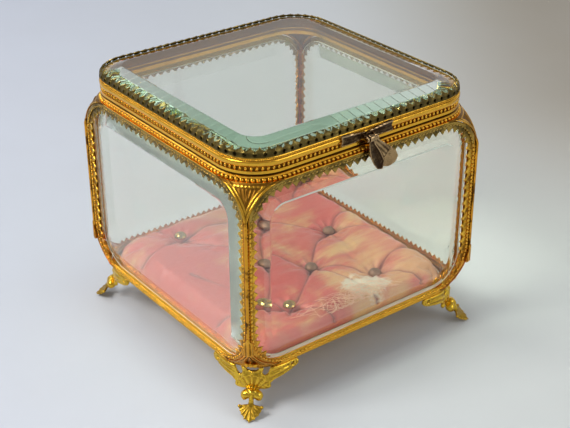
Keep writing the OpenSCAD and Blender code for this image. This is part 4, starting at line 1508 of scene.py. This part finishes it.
class CASKET_OT_clasp(bpy.types.Operator):
    """Makes the ribbon-bow clasp: two wings on the lid, and the knot with its two tails"""
    bl_idname = "casket.clasp"
    bl_label = "Clasp"

    def execute(self, context):
        low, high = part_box("clasp_pin")
        py, pz = (low[1] + high[1]) / 2 / MM, (low[2] + high[2]) / 2 / MM
        self.bow(KNOT_X, py, pz)
        self.flap(KNOT_X, py, pz)
        return {"FINISHED"}

    def bow(self, x0, py, pz):
        """The two wings on the lid, and the two ears that hold the pin."""
        low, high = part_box("clasp_bow")
        zc = (low[2] + high[2]) / 2 / MM
        back = high[1] / MM
        parts = []
        for side in (-1, 1):
            wing = sheet("wing", [(x * side, y) for x, y in WING], 1.0)
            recast(wing, 0.3)
            press(wing, self.folds)
            soften(wing, 0.5, 2)
            place(wing, shift(x0, back, zc) @ STAND)
            parts.append(wing)
        for side in (-1, 1):
            ear = start("ear", "cylinder", vertices=24, radius=1.4, depth=1.1,
                        rotation=(0, QUARTER, 0), location=(x0 + 2.8 * side, py, pz))
            edit(ear)
            pick(lambda v: v.co.y > py + 0.2)
            move((0, back - py - 1.6, 0.4))
            change(ear, "BEVEL", width=0.2, segments=2)
            parts.append(ear)
        finish(join("bow", parts), look("copper"), "lid", "clasp_bow", slot="dark_copper",
               smooth=50)

    def flap(self, x0, py, pz):
        """The knot round the pin, the two tails and the nose that holds the catch."""
        knot = start("knot", "torus", major_radius=1.35, minor_radius=0.4, major_segments=32,
                     minor_segments=10, rotation=(0, QUARTER, 0), location=(x0, py, pz))
        edit(knot)
        bpy.ops.transform.resize(value=(4.4, 1, 1), center_override=(x0, py, pz))
        parts = [knot]
        for side in (-1, 0, 1):
            parts.append(start(
                "ring", "torus", major_radius=1.5, minor_radius=0.22, major_segments=32,
                minor_segments=8, rotation=(0, QUARTER, 0), location=(x0 + 1.6 * side, py, pz)))
        for index, outline in enumerate((LEFT_TAIL, RIGHT_TAIL)):
            tail = sheet("tail", outline, 0.7)
            recast(tail, 0.26)
            press(tail, self.cast_right if index else self.cast_left)
            soften(tail, 0.4)
            place(tail, shift(x0, py + 0.35 + 0.3 * index, pz) @ STAND)
            parts.append(tail)
        nose = block("nose", (3.4, 2.4, 0.8), (x0 + 2.5, py + 1.4, 0))
        place(nose, shift(0, 0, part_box("clasp_catch")[0][2] / MM - 0.75))
        change(nose, "BEVEL", width=0.25, segments=2)
        flap = join("bow_tails", [*parts, nose])

        # The right tail is made lighter, and its knurled end gets painted light and shade in a
        # check
        def lighter_tail_and_knurl_shading(p):
            x, y = p[:, 0] - x0, p[:, 2] - pz
            right = x > tail_edge(y) + 0.7
            knurled = right & (x - y > 19.5)
            check = np.sin((x + y) * KNURL) * np.sin((x - y) * KNURL)
            return -0.12 * right - knurled * (0.12 + 0.3 * check)

        finish(flap, look("copper"), "clasp", "clasp_tails", slot="dark_copper", smooth=50,
               dull=lighter_tail_and_knurl_shading)

    def folds(self, p, n):
        """How the wings swell and fold, and the line along their edges."""
        x, y = np.abs(p[:, 0]), p[:, 1]
        fold = 0.28 * np.cos(y * 2.2 + x * 0.15) * np.exp(-x / 7.0)
        swell = 0.5 * np.sin(np.clip((x - 1) / 14, 0, 1) * math.pi)
        edge = np.abs(np.abs(y) - np.interp(x, (1.2, 8.5, 15), (1.0, 1.9, 2.2))) < 0.25
        return np.clip(n[:, 2], 0, 1) * (fold + swell + 0.3 * edge)

    def cast_left(self, p, n):
        """The left tail's raised right edge, and the hollow beside it."""
        x, y = p[:, 0], p[:, 1]
        edge = ridge_at(x, tail_edge(y), 0.35, 0.5)
        hollow = ridge_at(x, np.interp(-y, (0, 7, 17), (-0.2, 1.6, 5.0)), 1.6, 0.3)
        return np.clip(n[:, 2], 0, 1) * (edge - hollow)

    def cast_right(self, p, n):
        """The right tail's long veins, and the knurls over its end."""
        along_it, across = (p[:, 0] - p[:, 1]) / 1.414, (p[:, 0] + p[:, 1]) / 1.414
        knurl = 0.26 * np.sin((along_it + across) * KNURL) * np.sin((along_it - across) * KNURL)
        return np.clip(n[:, 2], 0, 1) * np.where(along_it > 13.5, 0.25 + knurl,
                                                 0.12 * np.cos(across * 3.4))


# The room stands turned from the box by the angle that has this cosine and sine
ROOM_COS, ROOM_SIN = 0.797, 0.604


def floor_finish():
    """A pale cloth with painted light: cooler and darker on one side, warmer and lighter on the
    other, and a painted shadow behind the box.
    """
    f = Finish("pale_cloth")
    across = f.axis(0) * ROOM_COS - f.axis(1) * ROOM_SIN
    behind = f.axis(0) * ROOM_SIN + f.axis(1) * ROOM_COS
    # Painted light across the floor: cooler and darker on one side, warmer and lighter on the
    # other
    base = f.mix(f.band(across, -0.35, 0.5), (0.634, 0.676, 0.79), (0.742, 0.765, 0.685))
    # Painted shadow behind the box, to one side
    base = f.mix(f.band(across, 0.02, 0.24) * f.band(behind, 0.0, 0.3), base,
                 (0.384, 0.343, 0.281))
    base = f.mix(f.noise(9.0, 4.0, 0.6) * 0.25, base, (0.50, 0.50, 0.50))
    return f.done(f.shader(Base_Color=base, Roughness=0.85,
                           Normal=f.bump(f.noise(5.0, 3.0), 0.3, 0.02)))


class CASKET_OT_stage(bpy.types.Operator):
    """Sets the pale floor, the soft lights and the camera"""
    bl_idname = "casket.stage"
    bl_label = "Stage"

    def execute(self, context):
        floor = start("floor", "plane", size=8)
        floor.data.materials.append(floor_finish())
        self.lamp("key", (-0.85, 0.10, 0.95), 0.55, 9.4, (1.0, 0.985, 0.96))
        self.lamp("fill", (0.55, -1.1, 0.75), 0.9, 3.8, (0.93, 0.96, 1.0))
        self.lamp("back", (-0.35, 1.2, 1.25), 0.7, 4.6, (1.0, 0.99, 0.97))
        # Light crosses many panes before it reaches the cushion and comes back
        for kind in ("max", "transmission", "glossy"):
            setattr(context.scene.cycles, f"{kind}_bounces", 40)
        world = bpy.data.worlds.new("studio")
        world.use_nodes = True
        self.sky(world.node_tree)
        context.scene.world = world
        context.scene.view_settings.view_transform = "Standard"
        self.camera(context.scene)
        return {"FINISHED"}

    def camera(self, scene):
        """Stands the camera at its place, turned by its yaw, pitch and roll in radians."""
        yaw, pitch, roll = 0.6485097, -0.4975404, -0.0048084
        look_to = Vector((math.sin(yaw) * math.cos(pitch), math.cos(yaw) * math.cos(pitch),
                          math.sin(pitch)))
        right = Vector((math.cos(yaw), -math.sin(yaw), 0))
        up = right.cross(look_to)
        right, up = (math.cos(roll) * right + math.sin(roll) * up,
                     -math.sin(roll) * right + math.cos(roll) * up)
        data = bpy.data.cameras.new("camera")
        data.lens, data.sensor_width = 76.52, 36
        data.clip_start, data.clip_end = 0.01, 50
        camera = bpy.data.objects.new("camera", data)
        scene.collection.objects.link(camera)
        camera.matrix_world = shift(-0.3296, -0.4408, 0.3556) @ Matrix(
            (right, up, -look_to)).transposed().to_4x4()
        scene.camera = camera

    def sky(self, tree):
        """An even pale room, brighter low down behind the box, where a pale cloth hangs."""
        way = node(tree, "ShaderNodeTexCoord")
        x, y, height = (node(tree, "ShaderNodeSeparateXYZ", None, {"Vector": way}, out=k)
                        for k in range(3))
        behind = x * ROOM_SIN + y * ROOM_COS
        glow = node(tree, "ShaderNodeMapRange", None, {
            "Value": behind, "From Min": -0.3, "From Max": 0.6})
        low = node(tree, "ShaderNodeMapRange", None, {
            "Value": height, "From Min": 0.5, "From Max": 0.1})
        strength = glow * low * 0.62 + 0.43
        tree.links.new(strength.socket, tree.nodes["Background"].inputs[1])
        tree.nodes["Background"].inputs[0].default_value = (0.86, 0.88, 0.9, 1)

    def lamp(self, name, at, size, power, tone):
        data = bpy.data.lights.new(name, "AREA")
        data.shape, data.size, data.energy, data.color = "DISK", size, power, tone
        obj = bpy.data.objects.new(name, data)
        bpy.context.scene.collection.objects.link(obj)
        way = Vector((0, 0, 0.06)) - Vector(at)
        turn = way.to_track_quat("-Z", "Y").to_matrix().to_4x4()
        obj.matrix_world = Matrix.Translation(at) @ turn


OPERATORS = (CASKET_OT_stage, CASKET_OT_panes, CASKET_OT_bezels, CASKET_OT_posts,
             CASKET_OT_gussets, CASKET_OT_base, CASKET_OT_rim, CASKET_OT_lid, CASKET_OT_gallery,
             CASKET_OT_hinge, CASKET_OT_feet, CASKET_OT_clasp, CASKET_OT_cushion)


class CASKET_PT_panel(bpy.types.Panel):
    bl_idname = "CASKET_PT_panel"
    bl_label = "Glass casket"
    bl_space_type = "VIEW_3D"
    bl_region_type = "UI"
    bl_category = "Casket"

    def draw(self, context):
        for group in (context.scene.casket_sizes, context.scene.casket_colours):
            for name in group.__annotations__:
                self.layout.prop(group, name)
        for operator in OPERATORS:
            self.layout.operator(operator.bl_idname)


CLASSES = (CasketSizes, CasketColours, *OPERATORS, CASKET_PT_panel)


def register():
    for cls in CLASSES:
        bpy.utils.register_class(cls)
    bpy.types.Scene.casket_sizes = bpy.props.PointerProperty(type=CasketSizes)
    bpy.types.Scene.casket_colours = bpy.props.PointerProperty(type=CasketColours)


def unregister():
    del bpy.types.Scene.casket_sizes, bpy.types.Scene.casket_colours
    for cls in reversed(CLASSES):
        bpy.utils.unregister_class(cls)


def main():
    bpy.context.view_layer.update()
    register()
    for operator in OPERATORS:
        group, name = operator.bl_idname.split(".")
        getattr(getattr(bpy.ops, group), name)()
    rest()
    bpy.context.view_layer.update()


if __name__ == "__main__":
    main()
